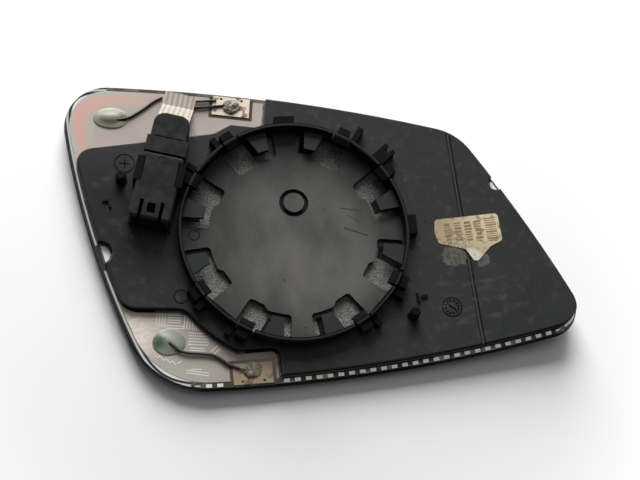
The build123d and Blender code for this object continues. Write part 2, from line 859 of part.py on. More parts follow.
# Rear cap: collar and boot, with a slot for the ribbon
cap_start = housing_length + neck_length
cap_end = cap_start + collar_length + cap_length
with BuildPart() as connector_cap:
    with BuildSketch(connector_plane):
        with Locations((0, cap_start + collar_length)):
            Rectangle(cap_width, cap_length, align=(Align.CENTER, Align.MIN))
    extrude(amount=housing_height - 2 * cap_lower)
    rear_corners = connector_cap.edges().filter_by(Axis.Z).sort_by(connector_plane.location.y_axis)[-2:]
    fillet(rear_corners, cap_round)
    fillet(connector_cap.faces().sort_by(Axis.Z)[-1].edges(), cap_lower)
    with BuildSketch(connector_plane):
        with Locations((0, cap_start)):
            Rectangle(housing_width, collar_length, align=(Align.CENTER, Align.MIN))
    extrude(amount=housing_height - cap_lower)
    with BuildSketch(connector_plane.offset(housing_height - 2 * cap_lower)):
        with Locations((0, cap_start + collar_length)):
            Rectangle(cap_groove_width, cap_groove_length, align=(Align.CENTER, Align.MIN))
    extrude(amount=-cap_groove_depth, mode=Mode.SUBTRACT)
    with BuildSketch(connector_plane.offset(ribbon_height - ribbon_thickness / 2 - ribbon_clearance)):
        with Locations((0, cap_end)):
            slot_width = ribbon_width + 2 * ribbon_clearance
            slot_depth = ribbon_inside + ribbon_clearance
            Rectangle(slot_width, slot_depth, align=(Align.CENTER, Align.MAX))
    extrude(amount=ribbon_thickness + 2 * ribbon_clearance, mode=Mode.SUBTRACT)

# Ribbon cable, bent down from the cap onto the heater foil
ribbon_end = cap_end + ribbon_run
ribbon_corners = [
    connector_plane.from_local_coords((side * ribbon_width / 2, ribbon_end, 0)) for side in (-1, 1)
]
foil_height = max(height_at(corner.X, corner.Y, foil_top) for corner in ribbon_corners)
ribbon_low = foil_height + ribbon_clearance + ribbon_thickness / 2 - seat_top
ribbon_plane = Plane(
    connector_plane.origin, x_dir=connector_plane.y_dir, z_dir=connector_plane.x_dir
)
with BuildPart() as ribbon_cable:
    with BuildSketch(ribbon_plane):
        with BuildLine():
            FilletPolyline(
                (cap_end - ribbon_inside, ribbon_height),
                (cap_end + ribbon_bend / 2, ribbon_height),
                (cap_end + ribbon_bend / 2 + ribbon_drop_run, ribbon_low),
                (ribbon_end, ribbon_low),
                radius=ribbon_bend,
            )
        trace(line_width=ribbon_thickness)
    extrude(amount=ribbon_width / 2, both=True)

# Jumper wires: a bare conductor inside its insulation
upper_points = lay_route(upper_route, foil_top + upper_wire / 2 + wire_gap)
with BuildPart() as upper_conductor:
    add(wire_along(lengthen(upper_points, bare_end, 0), upper_wire * conductor_share, stranded=True))

with BuildPart() as upper_insulation:
    add(wire_along(upper_points, upper_wire))
    add(upper_conductor.part, mode=Mode.SUBTRACT)

lower_points = lay_route(lower_route, plate_top + lower_wire / 2 + wire_gap)
with BuildPart() as lower_conductor:
    add(wire_along(lengthen(lower_points, bare_end, bare_end), lower_wire * conductor_share, stranded=True))

with BuildPart() as lower_insulation:
    add(wire_along(lower_points, lower_wire))
    add(lower_conductor.part, mode=Mode.SUBTRACT)

# Bare leads from the ribbon's side to the upper contact plate
leads = []
for back, end in ((outer_lead_back, outer_lead_end), (inner_lead_back, inner_lead_end)):
    first = connector_plane.from_local_coords((ribbon_width / 2 + wire_gap, ribbon_end - back, 0))
    last = upper_plane.from_local_coords((*end, 0))
    run = lay_route([(first.X, first.Y), (last.X, last.Y)], plate_top + lead_wire / 2 + wire_gap)
    with BuildPart() as lead:
        with BuildLine() as path:
            Line(*run)
        with BuildSketch(path.line ^ 0):
            Circle(lead_wire / 2)
        sweep()
    leads.append(lead.part)
outer_lead, inner_lead = leads

# Resin over the heater's terminals, cast round the wires
drop_top = on_foil + drop_height
core_top = on_foil + drop_core_height
with BuildPart() as upper_potting:
    add(resin_drop(upper_drop, upper_drop_size, drop_turn, on_foil, drop_top, drop_bevel))
    add(resin_drop(upper_drop, drop_core_size, drop_turn, on_foil, core_top, drop_core_bevel))
    add(upper_insulation.part, mode=Mode.SUBTRACT)
    add(upper_conductor.part, mode=Mode.SUBTRACT)

with BuildPart() as lower_potting:
    add(resin_drop(lower_drop, lower_drop_size, drop_turn, on_foil, drop_top, drop_bevel))
    add(resin_drop(lower_drop, drop_core_size, lower_core_turn, on_foil, core_top, drop_core_bevel))
    add(lower_insulation.part, mode=Mode.SUBTRACT)
    add(lower_conductor.part, mode=Mode.SUBTRACT)

# Solder on the contact plates
solder_top = on_plate + solder_height
upper_solder_place = upper_plane.from_local_coords((0, upper_solder_depth, 0))
with BuildPart() as upper_solder:
    add(
        resin_drop(
            (upper_solder_place.X, upper_solder_place.Y), solder_size, 0, on_plate, solder_top, solder_bevel
        )
    )
    add(inner_lead, mode=Mode.SUBTRACT)

lower_solder_place = lower_plane.from_local_coords((0, lower_solder_depth, 0))
with BuildPart() as lower_solder:
    add(
        resin_drop(
            (lower_solder_place.X, lower_solder_place.Y), solder_size, 0, on_plate, solder_top, solder_bevel
        )
    )
    add(lower_conductor.part, mode=Mode.SUBTRACT)

# Paper label with a torn lower edge
with BuildPart() as paper_label:
    with BuildSketch(trim_plane) as label_outline:
        with Locations(Location((*label_corner, 0), (0, 0, label_turn))):
            Polygon(
                (0, 0),
                (label_length, 0),
                (label_length, -label_right_width),
                (label_tear_end, -label_width),
                (label_tear_tip, -label_width - label_tear),
                (label_tear_start, -label_width),
                (0, -label_left_width),
                (-label_ragged_side, -label_bulge_drop),
                align=None,
            )
        fillet(label_outline.vertices(), label_round)
    trim_to_layer(layer_gap, layer_gap + label_thickness)

# Bend radii of the two jumper wires, and their swept volume against section times length
for wire_name, points, diameter in (("upper", upper_points, upper_wire), ("lower", lower_points, lower_wire)):
    bends = ", ".join(f"{radius:.1f}" for radius in route_radii(points))
    straight_volume = pi * diameter**2 / 4 * route_path(points).length
    share = wire_along(points, diameter).volume / straight_volume
    print(f"{wire_name} wire: bend radii {bends} mm, swept volume {share:.4f} of section times length")

pieces = {
    "front_glass": front_glass.part,
    "edge_seal": edge_seal.part,
    "dimming_gel": dimming_gel.part,
    "rear_glass": rear_glass.part,
    "upper_bus_clip": upper_bus_clip.part,
    "lower_bus_clip": lower_bus_clip.part,
    "heater_foil": heater_foil.part,
    "adhesive_sheet": adhesive_sheet.part,
    "carrier_plate": carrier_plate.part,
    "connector_housing": connector_housing.part,
    "connector_cap": connector_cap.part,
    "ribbon_cable": ribbon_cable.part,
    "upper_contact_plate": upper_contact_plate,
    "lower_contact_plate": lower_contact_plate,
    "upper_solder": upper_solder.part,
    "lower_solder": lower_solder.part,
    "upper_potting": upper_potting.part,
    "lower_potting": lower_potting.part,
    "upper_insulation": upper_insulation.part,
    "upper_conductor": upper_conductor.part,
    "lower_insulation": lower_insulation.part,
    "lower_conductor": lower_conductor.part,
    "outer_lead": outer_lead,
    "inner_lead": inner_lead,
    "paper_label": paper_label.part,
}
for number, pin in enumerate(contact_pins, start=1):
    pieces[f"contact_pin_{number}"] = pin

for name, piece in pieces.items():
    piece.label = name
    export_step(piece, f"parts/{name}.step")
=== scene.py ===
# %% [markdown]
# # A car door mirror glass, lying on its face
# The real part is a thin convex mirror. A heater foil and a black moulded carrier are glued to its back, and a
# small connector feeds the heater and the dimming layer. The true shapes are already in a CAD model, so this
# lesson keeps them as a fixed frame and adds light, finishes and the small marks that a CAD model leaves out.
# Blender works in metres, so every size below is in millimetres times MM.

# %% Load the frame and keep its box
import math
import random

import bpy
from mathutils import Matrix, Vector


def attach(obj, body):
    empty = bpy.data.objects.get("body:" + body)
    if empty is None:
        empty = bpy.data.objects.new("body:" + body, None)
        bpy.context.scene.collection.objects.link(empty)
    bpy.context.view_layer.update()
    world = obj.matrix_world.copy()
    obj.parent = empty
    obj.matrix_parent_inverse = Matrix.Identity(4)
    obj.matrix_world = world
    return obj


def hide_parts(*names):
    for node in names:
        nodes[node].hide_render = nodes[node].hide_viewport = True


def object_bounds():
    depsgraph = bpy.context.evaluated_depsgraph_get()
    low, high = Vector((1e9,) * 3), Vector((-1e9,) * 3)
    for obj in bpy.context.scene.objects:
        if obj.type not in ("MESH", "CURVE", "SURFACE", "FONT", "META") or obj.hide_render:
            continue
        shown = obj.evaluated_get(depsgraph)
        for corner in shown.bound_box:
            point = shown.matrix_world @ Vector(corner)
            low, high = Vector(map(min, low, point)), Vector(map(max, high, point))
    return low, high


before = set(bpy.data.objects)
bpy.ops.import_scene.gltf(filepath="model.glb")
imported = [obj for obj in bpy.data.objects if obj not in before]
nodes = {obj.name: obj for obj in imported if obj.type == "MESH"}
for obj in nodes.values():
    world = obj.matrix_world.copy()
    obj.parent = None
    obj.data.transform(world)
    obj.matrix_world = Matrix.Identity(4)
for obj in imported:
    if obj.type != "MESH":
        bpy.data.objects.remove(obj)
cad_box = [list(corner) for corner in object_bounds()]
MM = 0.001
print("CAD nodes:", len(nodes), "box in mm:", [[round(value / MM, 1) for value in corner] for corner in cad_box])

# %% [markdown]
# ## Camera
# A camera can be placed by eye, or from the picture itself. The picture shows a round ring as an ellipse, which
# gives the viewing direction, and the part's size gives the distance, so the camera is written down as a place and
# two directions: what is right and what is up in the picture. Its lens comes from the focal length in pixels.

# %% Camera at the picture's viewing angle
picture_width = 640
focal_pixels = 1232.9
camera_place = Vector((-77.8, -145.9, 418.6)) * MM
picture_right = Vector((0.970, -0.202, 0.133)).normalized()
picture_back = picture_right.cross(Vector((0.146, 0.927, 0.345))).normalized()
picture_up = picture_back.cross(picture_right)

bpy.ops.object.camera_add()
camera = bpy.context.object
camera.name = "picture_camera"
turn = Matrix((picture_right, picture_up, picture_back)).transposed().to_4x4()
camera.matrix_world = Matrix.Translation(camera_place) @ turn
camera.data.sensor_fit = "HORIZONTAL"
camera.data.lens = camera.data.sensor_width * focal_pixels / picture_width
bpy.context.scene.camera = camera
print("camera lens:", round(camera.data.lens, 2), "mm")

# %% [markdown]
# ## Helpers for finishes
# Every finish below is a node tree on one shader. Building nodes in code repeats three steps: make the node, set
# its options, fill or link its inputs. One helper does that. Others name what the finishes share: soft steps,
# masks and layers of colour, then the place of a point, cloudy noise of a given size, round spots and bumps.

# %% Node helpers
def paint(red, green, blue):
    """A colour as a picture shows it, 0 to 255, in the linear values that a shader mixes."""
    tones = [value / 255 for value in (red, green, blue)]
    return (*[tone / 12.92 if tone < 0.04045 else ((tone + 0.055) / 1.055) ** 2.4 for tone in tones], 1.0)


def add_node(finish, kind, inputs, **options):
    """A node of this kind, with its options set and its inputs filled or linked."""
    made = finish.node_tree.nodes.new("ShaderNode" + kind)
    for option, value in options.items():
        setattr(made, option, value)
    for name, value in inputs.items():
        if isinstance(value, bpy.types.NodeSocket):
            finish.node_tree.links.new(value, made.inputs[name])
        else:
            made.inputs[name].default_value = value
    return made


def shader_of(finish):
    return finish.node_tree.nodes["Principled BSDF"]


def new_finish(name, **values):
    """A material with these values on its shader's own sockets."""
    finish = bpy.data.materials.new(name)
    finish.use_nodes = True
    for socket, value in values.items():
        shader_of(finish).inputs[socket.replace("_", " ")].default_value = value
    return finish


def feed(finish, socket, value):
    """Links a pattern into one socket of the shader."""
    finish.node_tree.links.new(value, shader_of(finish).inputs[socket])


def calc(finish, operation, first, second):
    return add_node(finish, "Math", {0: first, 1: second}, operation=operation).outputs[0]


def both(finish, first, second):
    """Where both masks hold."""
    return calc(finish, "MULTIPLY", first, second)


def step(finish, value, low, high, start=0.0, end=1.0):
    """A soft step that goes from start to end while the value goes from low to high."""
    ranges = {"Value": value, "From Min": low, "From Max": high, "To Min": start, "To Max": end}
    return add_node(finish, "MapRange", ranges, interpolation_type="SMOOTHSTEP").outputs[0]


def between(finish, value, start, full, full_end, end):
    """A soft band: 1 while the value lies from full to full_end, 0 before start and beyond end."""
    return both(finish, step(finish, value, start, full), step(finish, value, end, full_end))


def blend(finish, amount, first, second):
    """Goes from the first colour to the second as the amount goes from 0 to 1."""
    return add_node(finish, "Mix", {0: amount, 6: first, 7: second}, data_type="RGBA").outputs[2]


def coats(finish, colour, *layers):
    """Layers over a first colour, each a mask and the tone that it lets in."""
    for mask, tone in layers:
        colour = blend(finish, mask, colour, paint(*tone))
    return colour


def dress(finish, *names):
    """Gives CAD nodes a finish."""
    for name in names:
        nodes[name].data.materials.clear()
        nodes[name].data.materials.append(finish)
    print(finish.name, "on", ", ".join(names))


print("mid grey in linear light:", round(paint(128, 128, 128)[0], 3))

# %% Pattern helpers
cloud_span = (0.3, 0.7)


def place_on(finish):
    """Where a point lies in the object's frame."""
    return add_node(finish, "TexCoord", {}).outputs["Object"]


def cloud(finish, size, detail=3.0, stretch=(1, 1, 1), turn=0.0):
    """Noise from 0 to 1 with blotches of about this size in millimetres, stretched along turned axes."""
    axes = {"Vector": place_on(finish), "Rotation": (0, 0, math.radians(turn)), "Scale": stretch}
    spread = add_node(finish, "Mapping", axes).outputs[0]
    blotches = {"Vector": spread, "Scale": 1 / (size * MM), "Detail": detail}
    return add_node(finish, "TexNoise", blotches).outputs[0]


def drift(finish, size, detail, start=0.0, end=1.0, span=cloud_span, **shape):
    """A value that wanders from start to end as a cloud of this size goes through its span."""
    return step(finish, cloud(finish, size, detail, **shape), *span, start, end)


def mottled(finish, size, detail, first, second):
    """A colour that wanders between two tones in blotches of this size."""
    return blend(finish, cloud(finish, size, detail), paint(*first), paint(*second))


def two_tone(name, size, detail, first, second, **values):
    """A material whose colour wanders between two tones."""
    finish = new_finish(name, **values)
    feed(finish, "Base Color", mottled(finish, size, detail, first, second))
    return finish


def gloss(finish, size, detail, start, end, span=cloud_span):
    """Roughness that wanders from start to end in blotches of this size."""
    feed(finish, "Roughness", drift(finish, size, detail, start, end, span))


def roughen(finish, height, depth):
    """Bumps of this depth in millimetres where the height pattern rises."""
    bump = add_node(finish, "Bump", {"Height": height, "Distance": depth * MM, "Strength": 1.0})
    feed(finish, "Normal", bump.outputs[0])


def along_on(finish, axis=0):
    """Place of a point along X, or along Y (1) or Z (2), in millimetres."""
    split = add_node(finish, "SeparateXYZ", {0: place_on(finish)})
    return calc(finish, "MULTIPLY", split.outputs[axis], 1 / MM)


def distance_to(finish, x, y):
    """How far a point lies from an upright line at x, y, in millimetres."""
    flat = add_node(finish, "VectorMath", {0: place_on(finish), 1: (1 / MM, 1 / MM, 0)}, operation="MULTIPLY")
    gap = add_node(finish, "VectorMath", {0: flat.outputs[0], 1: (x, y, 0)}, operation="DISTANCE")
    return gap.outputs["Value"]


def distance_to_line(finish, start, end):
    """How far a point lies from a straight line over the back, in millimetres."""
    run = (Vector(end) - Vector(start)).normalized()
    aside = Vector((-run.y, run.x))
    reach = add_node(
        finish, "VectorMath", {0: place_on(finish), 1: (aside.x / MM, aside.y / MM, 0)}, operation="DOT_PRODUCT"
    )
    gap = calc(finish, "SUBTRACT", reach.outputs["Value"], aside.dot(Vector(start)))
    return calc(finish, "ABSOLUTE", gap, 0)


def spot(finish, place, rim, heart, start=0.0, end=1.0):
    """A soft round spot: start beyond its rim, end inside its heart."""
    return step(finish, distance_to(finish, *place), rim, heart, start, end)


print("clouds are used from", *cloud_span)

# %% [markdown]
# ## Floor and light
# The part lies on a white sheet. One soft light hangs overhead, where the flat back would mirror it to the camera,
# and gives the black plastic its grey sheen. A larger one stands low behind the upper edge and throws a long soft
# shadow towards the viewer. A small lamp would give hard edges, so both are wide area lights. The dim world fills
# the shadows. Away from the part the sheet glows a little, as a lit backdrop does, and fades to plain white.
# The Standard view is chosen so that white paper comes out white.

# %% Floor
floor_size = 6.0
floor_height = cad_box[0][2]
sheet_blotch = 40
sheet_tones = ((0.91, 0.91, 0.91, 1), (0.93, 0.93, 0.93, 1))
glow_span = (95.0, 260.0)
glow_strength = 0.6

bpy.ops.object.select_all(action="DESELECT")
bpy.ops.mesh.primitive_plane_add(size=floor_size, location=(0, 0, floor_height))
floor = bpy.context.object
floor.name = "floor"
sheet = new_finish("white_sheet", Roughness=0.9, Emission_Color=(1, 1, 1, 1))
feed(sheet, "Base Color", blend(sheet, cloud(sheet, sheet_blotch), *sheet_tones))
glow = step(sheet, distance_to(sheet, 0, 0), *glow_span, 0.0, glow_strength)
feed(sheet, "Emission Strength", glow)
floor.data.materials.append(sheet)
print("floor at", round(floor_height / MM, 2), "mm")

# %% Light
light_aim = Vector((0.01, 0.0, 0.0))
# Each row: name, place, size in metres, watts.
soft_lights = (
    ("sheen_light", Vector((0.26, 0.42, 1.15)), 0.8, 1.9),
    ("shadow_light", Vector((0.14, 1.25, 0.62)), 1.0, 44.0),
)
fill_strength = 0.08

for name, place, size, watts in soft_lights:
    bpy.ops.object.light_add(type="AREA", location=place)
    light = bpy.context.object
    light.name = name
    light.data.shape = "SQUARE"
    light.data.size = size
    light.data.energy = watts
    light.rotation_euler = (light_aim - place).to_track_quat("-Z", "Y").to_euler()
    print(name, watts, "W")

world = bpy.data.worlds.new("studio")
world.use_nodes = True
background = world.node_tree.nodes["Background"].inputs
background["Color"].default_value = (1.0, 1.0, 1.0, 1.0)
background["Strength"].default_value = fill_strength
bpy.context.scene.world = world
bpy.context.scene.view_settings.view_transform = "Standard"

# %% [markdown]
# ## Distance from the edge of the glass
# Several finishes change near the edge of the glass: bands of colour on the foil, the seal behind the mirror, the
# ground rim. The glass has four edges, each an arc of a large circle. A point's distance from an arc is the
# radius less its distance from the arc's centre, and a smooth minimum of the four rounds the corners. The mirror
# shows in two notches of the carrier's rim. In the right one it is bare nearly to the edge, so there a point counts
# as lying deeper inside.

# %% Edge of the glass
upper_left = Vector((-75.3, 71.1))
upper_right = Vector((70.5, 30.9))
lower_right = Vector((100.9, -52.7))
lower_left = Vector((-58.4, -49.3))
edge_arcs = (
    (upper_left, upper_right, 520.0),
    (upper_right, lower_right, 440.0),
    (lower_right, lower_left, 645.0),
    (lower_left, upper_left, 320.0),
)
corner_softness = 20.0


def arc_centre(start, end, radius):
    """Centre of an edge's arc, on the inner side of the glass."""
    chord = end - start
    inward = Vector((chord.y, -chord.x)).normalized()
    return (start + end) / 2 + inward * math.sqrt(radius**2 - chord.length_squared / 4)


def edge_distance(finish):
    """How far a point lies inside the four edges of the glass, in millimetres."""
    nearest = None
    for start, end, radius in edge_arcs:
        inside = calc(finish, "SUBTRACT", radius, distance_to(finish, *arc_centre(start, end, radius)))
        if nearest is None:
            nearest = inside
        else:
            softened = add_node(
                finish, "Math", {0: nearest, 1: inside, 2: corner_softness}, operation="SMOOTH_MIN"
            )
            nearest = softened.outputs[0]
    return nearest


print("edge arcs of radius", [radius for start, end, radius in edge_arcs], "mm")

# %% Notches in the carrier's rim
left_notch = (-67.7, 2.4)
right_notch = (75.4, 6.2)
notch_reach = (6.0, 5.0)
bare_gain = 1.6


def near_notch(finish):
    """Where a point lies close to one of the two notches."""
    discs = [spot(finish, notch, *notch_reach) for notch in (left_notch, right_notch)]
    return calc(finish, "MAXIMUM", *discs)


def bare_distance(finish):
    """Distance inside the edges, larger in the right notch, where the mirror is bare nearly to the edge."""
    bare = spot(finish, right_notch, *notch_reach, 0.0, bare_gain)
    return calc(finish, "ADD", edge_distance(finish), bare)


print("notches at", left_notch, "and", right_notch, "mm")

# %% [markdown]
# ## Black carrier
# The carrier is one injection moulding in black plastic. New it would be an even satin black, but this one has
# been used: grey dust lies inside the ring, wiped into clouds, and two spots of old glue show where the label tore.
# The round gate groove is painted near black, and the hinge groove gets painted shade along its rims and painted
# light on its floor. Each of these is a mask made from a distance or a height, often times a cloud, and lets one
# more colour in over the last. The plate is curved, so heights are measured from the curve: hooks, walls and small
# ribs are duller and painted darker than the plate as shade, cut walls below its face are painted black as shade,
# and its bevel and the middle of the ring's rim carry painted highlights. The inboard border is darker with
# painted shade. A fine bump is the mould's texture.

# %% Height above the curved plate
back_radius = 1400.0
outboard_start = 62.0
outboard_radius = 420.0


def rise_on(finish):
    """Height of a point above the curved plate in millimetres."""
    away = distance_to(finish, 0, 0)
    beyond = calc(finish, "MAXIMUM", calc(finish, "SUBTRACT", along_on(finish), outboard_start), 0)
    bowl = calc(finish, "DIVIDE", both(finish, away, away), 2 * back_radius)
    extra = (1 / outboard_radius - 1 / back_radius) / 2
    turned_up = calc(finish, "MULTIPLY", both(finish, beyond, beyond), extra)
    plate = calc(finish, "ADD", bowl, turned_up)
    return calc(finish, "SUBTRACT", along_on(finish, 2), plate)


print("back radii:", back_radius, "and", outboard_radius, "mm")

# %% Carrier: plastic, uprights and rim
plastic_tones = ((36, 37, 38), (46, 47, 47))
upright_heights = (3.1, 3.4)
rib_heights = (0.5, 0.7, 2.6, 2.75)
upright_shade_tone = (8, 9, 9)
rim_radius = 41.35
rim_half_width = (0.36, 0.2)
rim_heights = (5.6, 5.7)
rim_highlight_tone = (34, 35, 36)

plastic = new_finish("black_plastic", Specular_IOR_Level=0.12)
rise = rise_on(plastic)
upright = step(plastic, rise, *upright_heights)
rib = between(plastic, rise, *rib_heights)
rim_gap = calc(plastic, "SUBTRACT", distance_to(plastic, 0, 0), rim_radius)
rim_middle = step(plastic, calc(plastic, "ABSOLUTE", rim_gap, 0), *rim_half_width)
rim_top = step(plastic, along_on(plastic, 2), *rim_heights)
# Painted highlight: a light line along the middle of the ring's rim.
rim_highlight = both(plastic, rim_middle, rim_top)
# Painted shade: hooks, walls and small ribs that rise from the plate are painted darker than it.
upright_shade = calc(plastic, "MAXIMUM", upright, rib)
look = mottled(plastic, 18, 4, *plastic_tones)
look = coats(plastic, look, (upright_shade, upright_shade_tone), (rim_highlight, rim_highlight_tone))
print("uprights start", upright_heights[0], "mm up")

# %% Carrier: shaded side, border and bevel
shade_spot = ((-64.0, 14.0), 30.0, 10.0, 0.0, 0.6)
shade_tone = (20, 20, 20)
border_depths = (3.7, 2.6)
border_fade = (0.0, -20.0)
border_shade_tone = (14, 14, 14)
bevel_heights = (-0.06, -0.12)
bevel_highlight_tone = (78, 78, 75)
cut_heights = (-0.3, -0.36)
cut_shade_tone = (6, 6, 6)

shaded = spot(plastic, *shade_spot)
# Painted shade: the carrier's inboard edge is painted darker.
border = step(plastic, edge_distance(plastic), *border_depths)
inboard = step(plastic, along_on(plastic), *border_fade)
# Painted highlight: the bevel along the carrier's edge is painted lighter.
bevel = step(plastic, rise, *bevel_heights)
# Painted shade: walls cut below the plate's face are painted black.
cut = step(plastic, rise, *cut_heights)
look = coats(plastic, look, (shaded, shade_tone), (both(plastic, border, inboard), border_shade_tone))
look = coats(plastic, look, (bevel, bevel_highlight_tone), (cut, cut_shade_tone))
print("border fades in", *border_depths, "mm from the edge")

# %% Carrier: dust, scuffs and specks
plate_heights = (0.48, 0.42)
dust_spot = ((2.0, -6.0), 46.0, 16.0)
dust_tone = (94, 93, 89)
scuff_tone = (84, 84, 81)
speck_pitch = 7.0
speck_sizes = (0.055, 0.035)
speck_tone = (14, 14, 14)

plate_only = step(plastic, rise, *plate_heights)
wiped = drift(plastic, 16, 5, 0.3, 1.0, (0.25, 0.7), stretch=(1, 0.6, 1), turn=25)
dusty = both(plastic, both(plastic, spot(plastic, *dust_spot), plate_only), wiped)
scuffs = both(plastic, drift(plastic, 3.2, 6, 0.0, 0.35, (0.5, 0.85)), plate_only)
cells = add_node(plastic, "TexVoronoi", {"Vector": place_on(plastic), "Scale": 1 / (speck_pitch * MM)})
specks = step(plastic, cells.outputs["Distance"], *speck_sizes)
look = coats(plastic, look, (dusty, dust_tone), (scuffs, scuff_tone), (specks, speck_tone))
print("dust reaches", dust_spot[1], "mm")

# %% Carrier: gate and hinge grooves
gate_centre = (2.5, 12.0)
gate_band = (3.7, 3.9, 5.3, 5.5)
gate_tone = (7, 7, 7)
hinge_line = ((66.2, 30.9), (59.4, -52.7))
hinge_half_width = (0.5, 0.4)
hinge_floor_light_tone = (56, 57, 57)
hinge_rim_band = (0.35, 0.5, 0.85, 1.0)
hinge_rim_shade_tone = (8, 8, 8)

# The round gate groove is painted near black.
gate_groove = between(plastic, distance_to(plastic, *gate_centre), *gate_band)
hinge_gap = distance_to_line(plastic, *hinge_line)
# Painted light on the hinge groove's floor, and painted shade along its rims.
hinge_floor_light = both(plastic, step(plastic, hinge_gap, *hinge_half_width), plate_only)
hinge_rim_shade = both(plastic, between(plastic, hinge_gap, *hinge_rim_band), plate_only)
grooves = ((gate_groove, gate_tone), (hinge_floor_light, hinge_floor_light_tone), (hinge_rim_shade, hinge_rim_shade_tone))
look = coats(plastic, look, *grooves)
print("gate groove from", gate_band[0], "to", gate_band[-1], "mm")

# %% Carrier: glue, smear and gloss
glue_spots = ((56.9, -18.4, 4.6), (66.9, -21.4, 2.7))
glue_edge = 0.7
glue_wave = 0.9
glue_tone = (88, 86, 79)
smear_spot = ((61.0, -38.0), 20.0, 10.0)
smear_tone = (66, 66, 64)
upright_matt = 0.42

for x, y, reach in glue_spots:
    wavy = drift(plastic, 2.5, 4, -glue_wave, glue_wave)
    glue_gap = calc(plastic, "ADD", distance_to(plastic, x, y), wavy)
    glue = step(plastic, glue_gap, reach, reach - glue_edge)
    glue_clouds = drift(plastic, 1.6, 5, 0.45, 1.0, (0.35, 0.6))
    look = coats(plastic, look, (both(plastic, glue, glue_clouds), glue_tone))
smear_streaks = drift(plastic, 7, 5, span=(0.5, 0.75), stretch=(1, 2.6, 1), turn=35)
smear = both(plastic, spot(plastic, *smear_spot), smear_streaks)
feed(plastic, "Base Color", coats(plastic, look, (smear, smear_tone)))
satin = drift(plastic, 9, 4, 0.46, 0.54)
matt = calc(plastic, "SUBTRACT", upright, rim_highlight)
matt = step(plastic, matt, 0.0, 1.0, 0.0, upright_matt)
feed(plastic, "Roughness", calc(plastic, "ADD", satin, matt))
roughen(plastic, cloud(plastic, 0.3, 2), 0.012)
dress(plastic, "carrier_plate")

# %% [markdown]
# ## Heater foil
# The foil is a thin metallised film. It is pale lilac beige, and in the upper corner, where the coating gets
# thinner, bands of green, salmon and grey follow the edge of the glass. They could be painted by hand on an
# unwrapped sheet. The distance from the edge is already there, so each band is a step of it, and a little noise
# lets the bands wander. Streaks of painted highlight brighten the lower corner as a glint.

# %% Foil finish
foil_tones = ((152, 141, 134), (170, 159, 151))
bands_spot = ((-72.0, 62.0), 38.0, 12.0)
bands_wander = 0.7
edge_bands = ((11.0, 8.6, (162, 159, 146)), (8.6, 6.2, (190, 150, 138)), (4.6, 3.0, (162, 164, 156)))
dull_spot = ((-46.0, -43.0), 13.0, 4.0)
dull_tone = (160, 158, 147)
painted_glint_spot = ((-64.5, -26.0), 17.0, 4.0)
painted_glint_tone = (224, 212, 200)

foil = new_finish("heater_film", Metallic=0.1)
wander = drift(foil, 12, 2, -bands_wander, bands_wander)
inset = calc(foil, "ADD", edge_distance(foil), wander)
corner = spot(foil, *bands_spot)
film = mottled(foil, 7, 5, *foil_tones)
for band_start, band_end, tone in edge_bands:
    band = both(foil, corner, step(foil, inset, band_start, band_end))
    film = coats(foil, film, (band, tone))
# Painted highlight: streaks of glint brighten the lower corner of the foil.
streaks = drift(foil, 2.2, 4, 0.55, 1.0, stretch=(1, 4, 1), turn=-60)
painted_glint = both(foil, spot(foil, *painted_glint_spot), streaks)
film = coats(foil, film, (spot(foil, *dull_spot), dull_tone), (painted_glint, painted_glint_tone))
print("bands on the foil:", len(edge_bands))

# %% Foil: notches and gloss
seal_depth = 2.6
seal_fade = 0.3
notch_seal_tone = (58, 58, 57)
notch_reflection_tone = (230, 230, 227)

# In the notches the foil is painted as the dark seal near the edge and, further in, as a painted reflection: the
# near white that the bare mirror shows.
bare = step(foil, bare_distance(foil), seal_depth, seal_depth + seal_fade)
notch_seal_and_reflection = blend(foil, bare, paint(*notch_seal_tone), paint(*notch_reflection_tone))
feed(foil, "Base Color", blend(foil, near_notch(foil), film, notch_seal_and_reflection))
gloss(foil, 4, 4, 0.4, 0.55)
roughen(foil, cloud(foil, 5, 2), 0.05)
dress(foil, "heater_foil")

# %% [markdown]
# ## Adhesive sheet
# Between foil and carrier lies a sheet of glue. It shows as a narrow border and through the eight openings in the
# ring's floor, where it is crumpled into fine pale grains. Grains could be a plain noise, but the real ones are
# sharp ridges between small cells, so a Voronoi pattern measured from its edges makes them, warped by noise so
# that no cell looks straight. It is the bump as well. In the pockets under the ledges a painted shadow makes the
# sheet black, shifted a little to one side as the ledges' shadows fall.
# The ledges repeat round the ring in mirrored pairs, so the angle is folded back and forth every 45 degrees, and
# one mask then serves all eight.

# %% Painted shadows in the pockets under the ledges
ledge_shadow_shift = (-1.1, 0.7)
pocket_turn = math.radians(-6.0)
pocket_fold = math.radians(45.0)
pocket_near = (10.6, 11.2)
pocket_far = (19.3, 18.7)
pocket_taper = 0.37
pocket_inner = 33.1
pocket_edge = 0.2


def ledge_shadow(finish):
    """Where the painted shadow of one of the eight ledges falls on the sheet below it."""
    across, up = [calc(finish, "SUBTRACT", along_on(finish, axis), ledge_shadow_shift[axis]) for axis in (0, 1)]
    swung = calc(finish, "SUBTRACT", calc(finish, "ARCTAN2", up, across), pocket_turn)
    angle = calc(finish, "DEGREES", calc(finish, "PINGPONG", swung, pocket_fold), 0)
    depth = calc(finish, "SUBTRACT", distance_to(finish, *ledge_shadow_shift), pocket_inner)
    far_angle = calc(finish, "SUBTRACT", angle, calc(finish, "MULTIPLY", depth, pocket_taper))
    sector = both(finish, step(finish, angle, *pocket_near), step(finish, far_angle, *pocket_far))
    return both(finish, sector, step(finish, depth, -pocket_edge, pocket_edge))


print("pockets start", pocket_inner, "mm from the ring's axis")

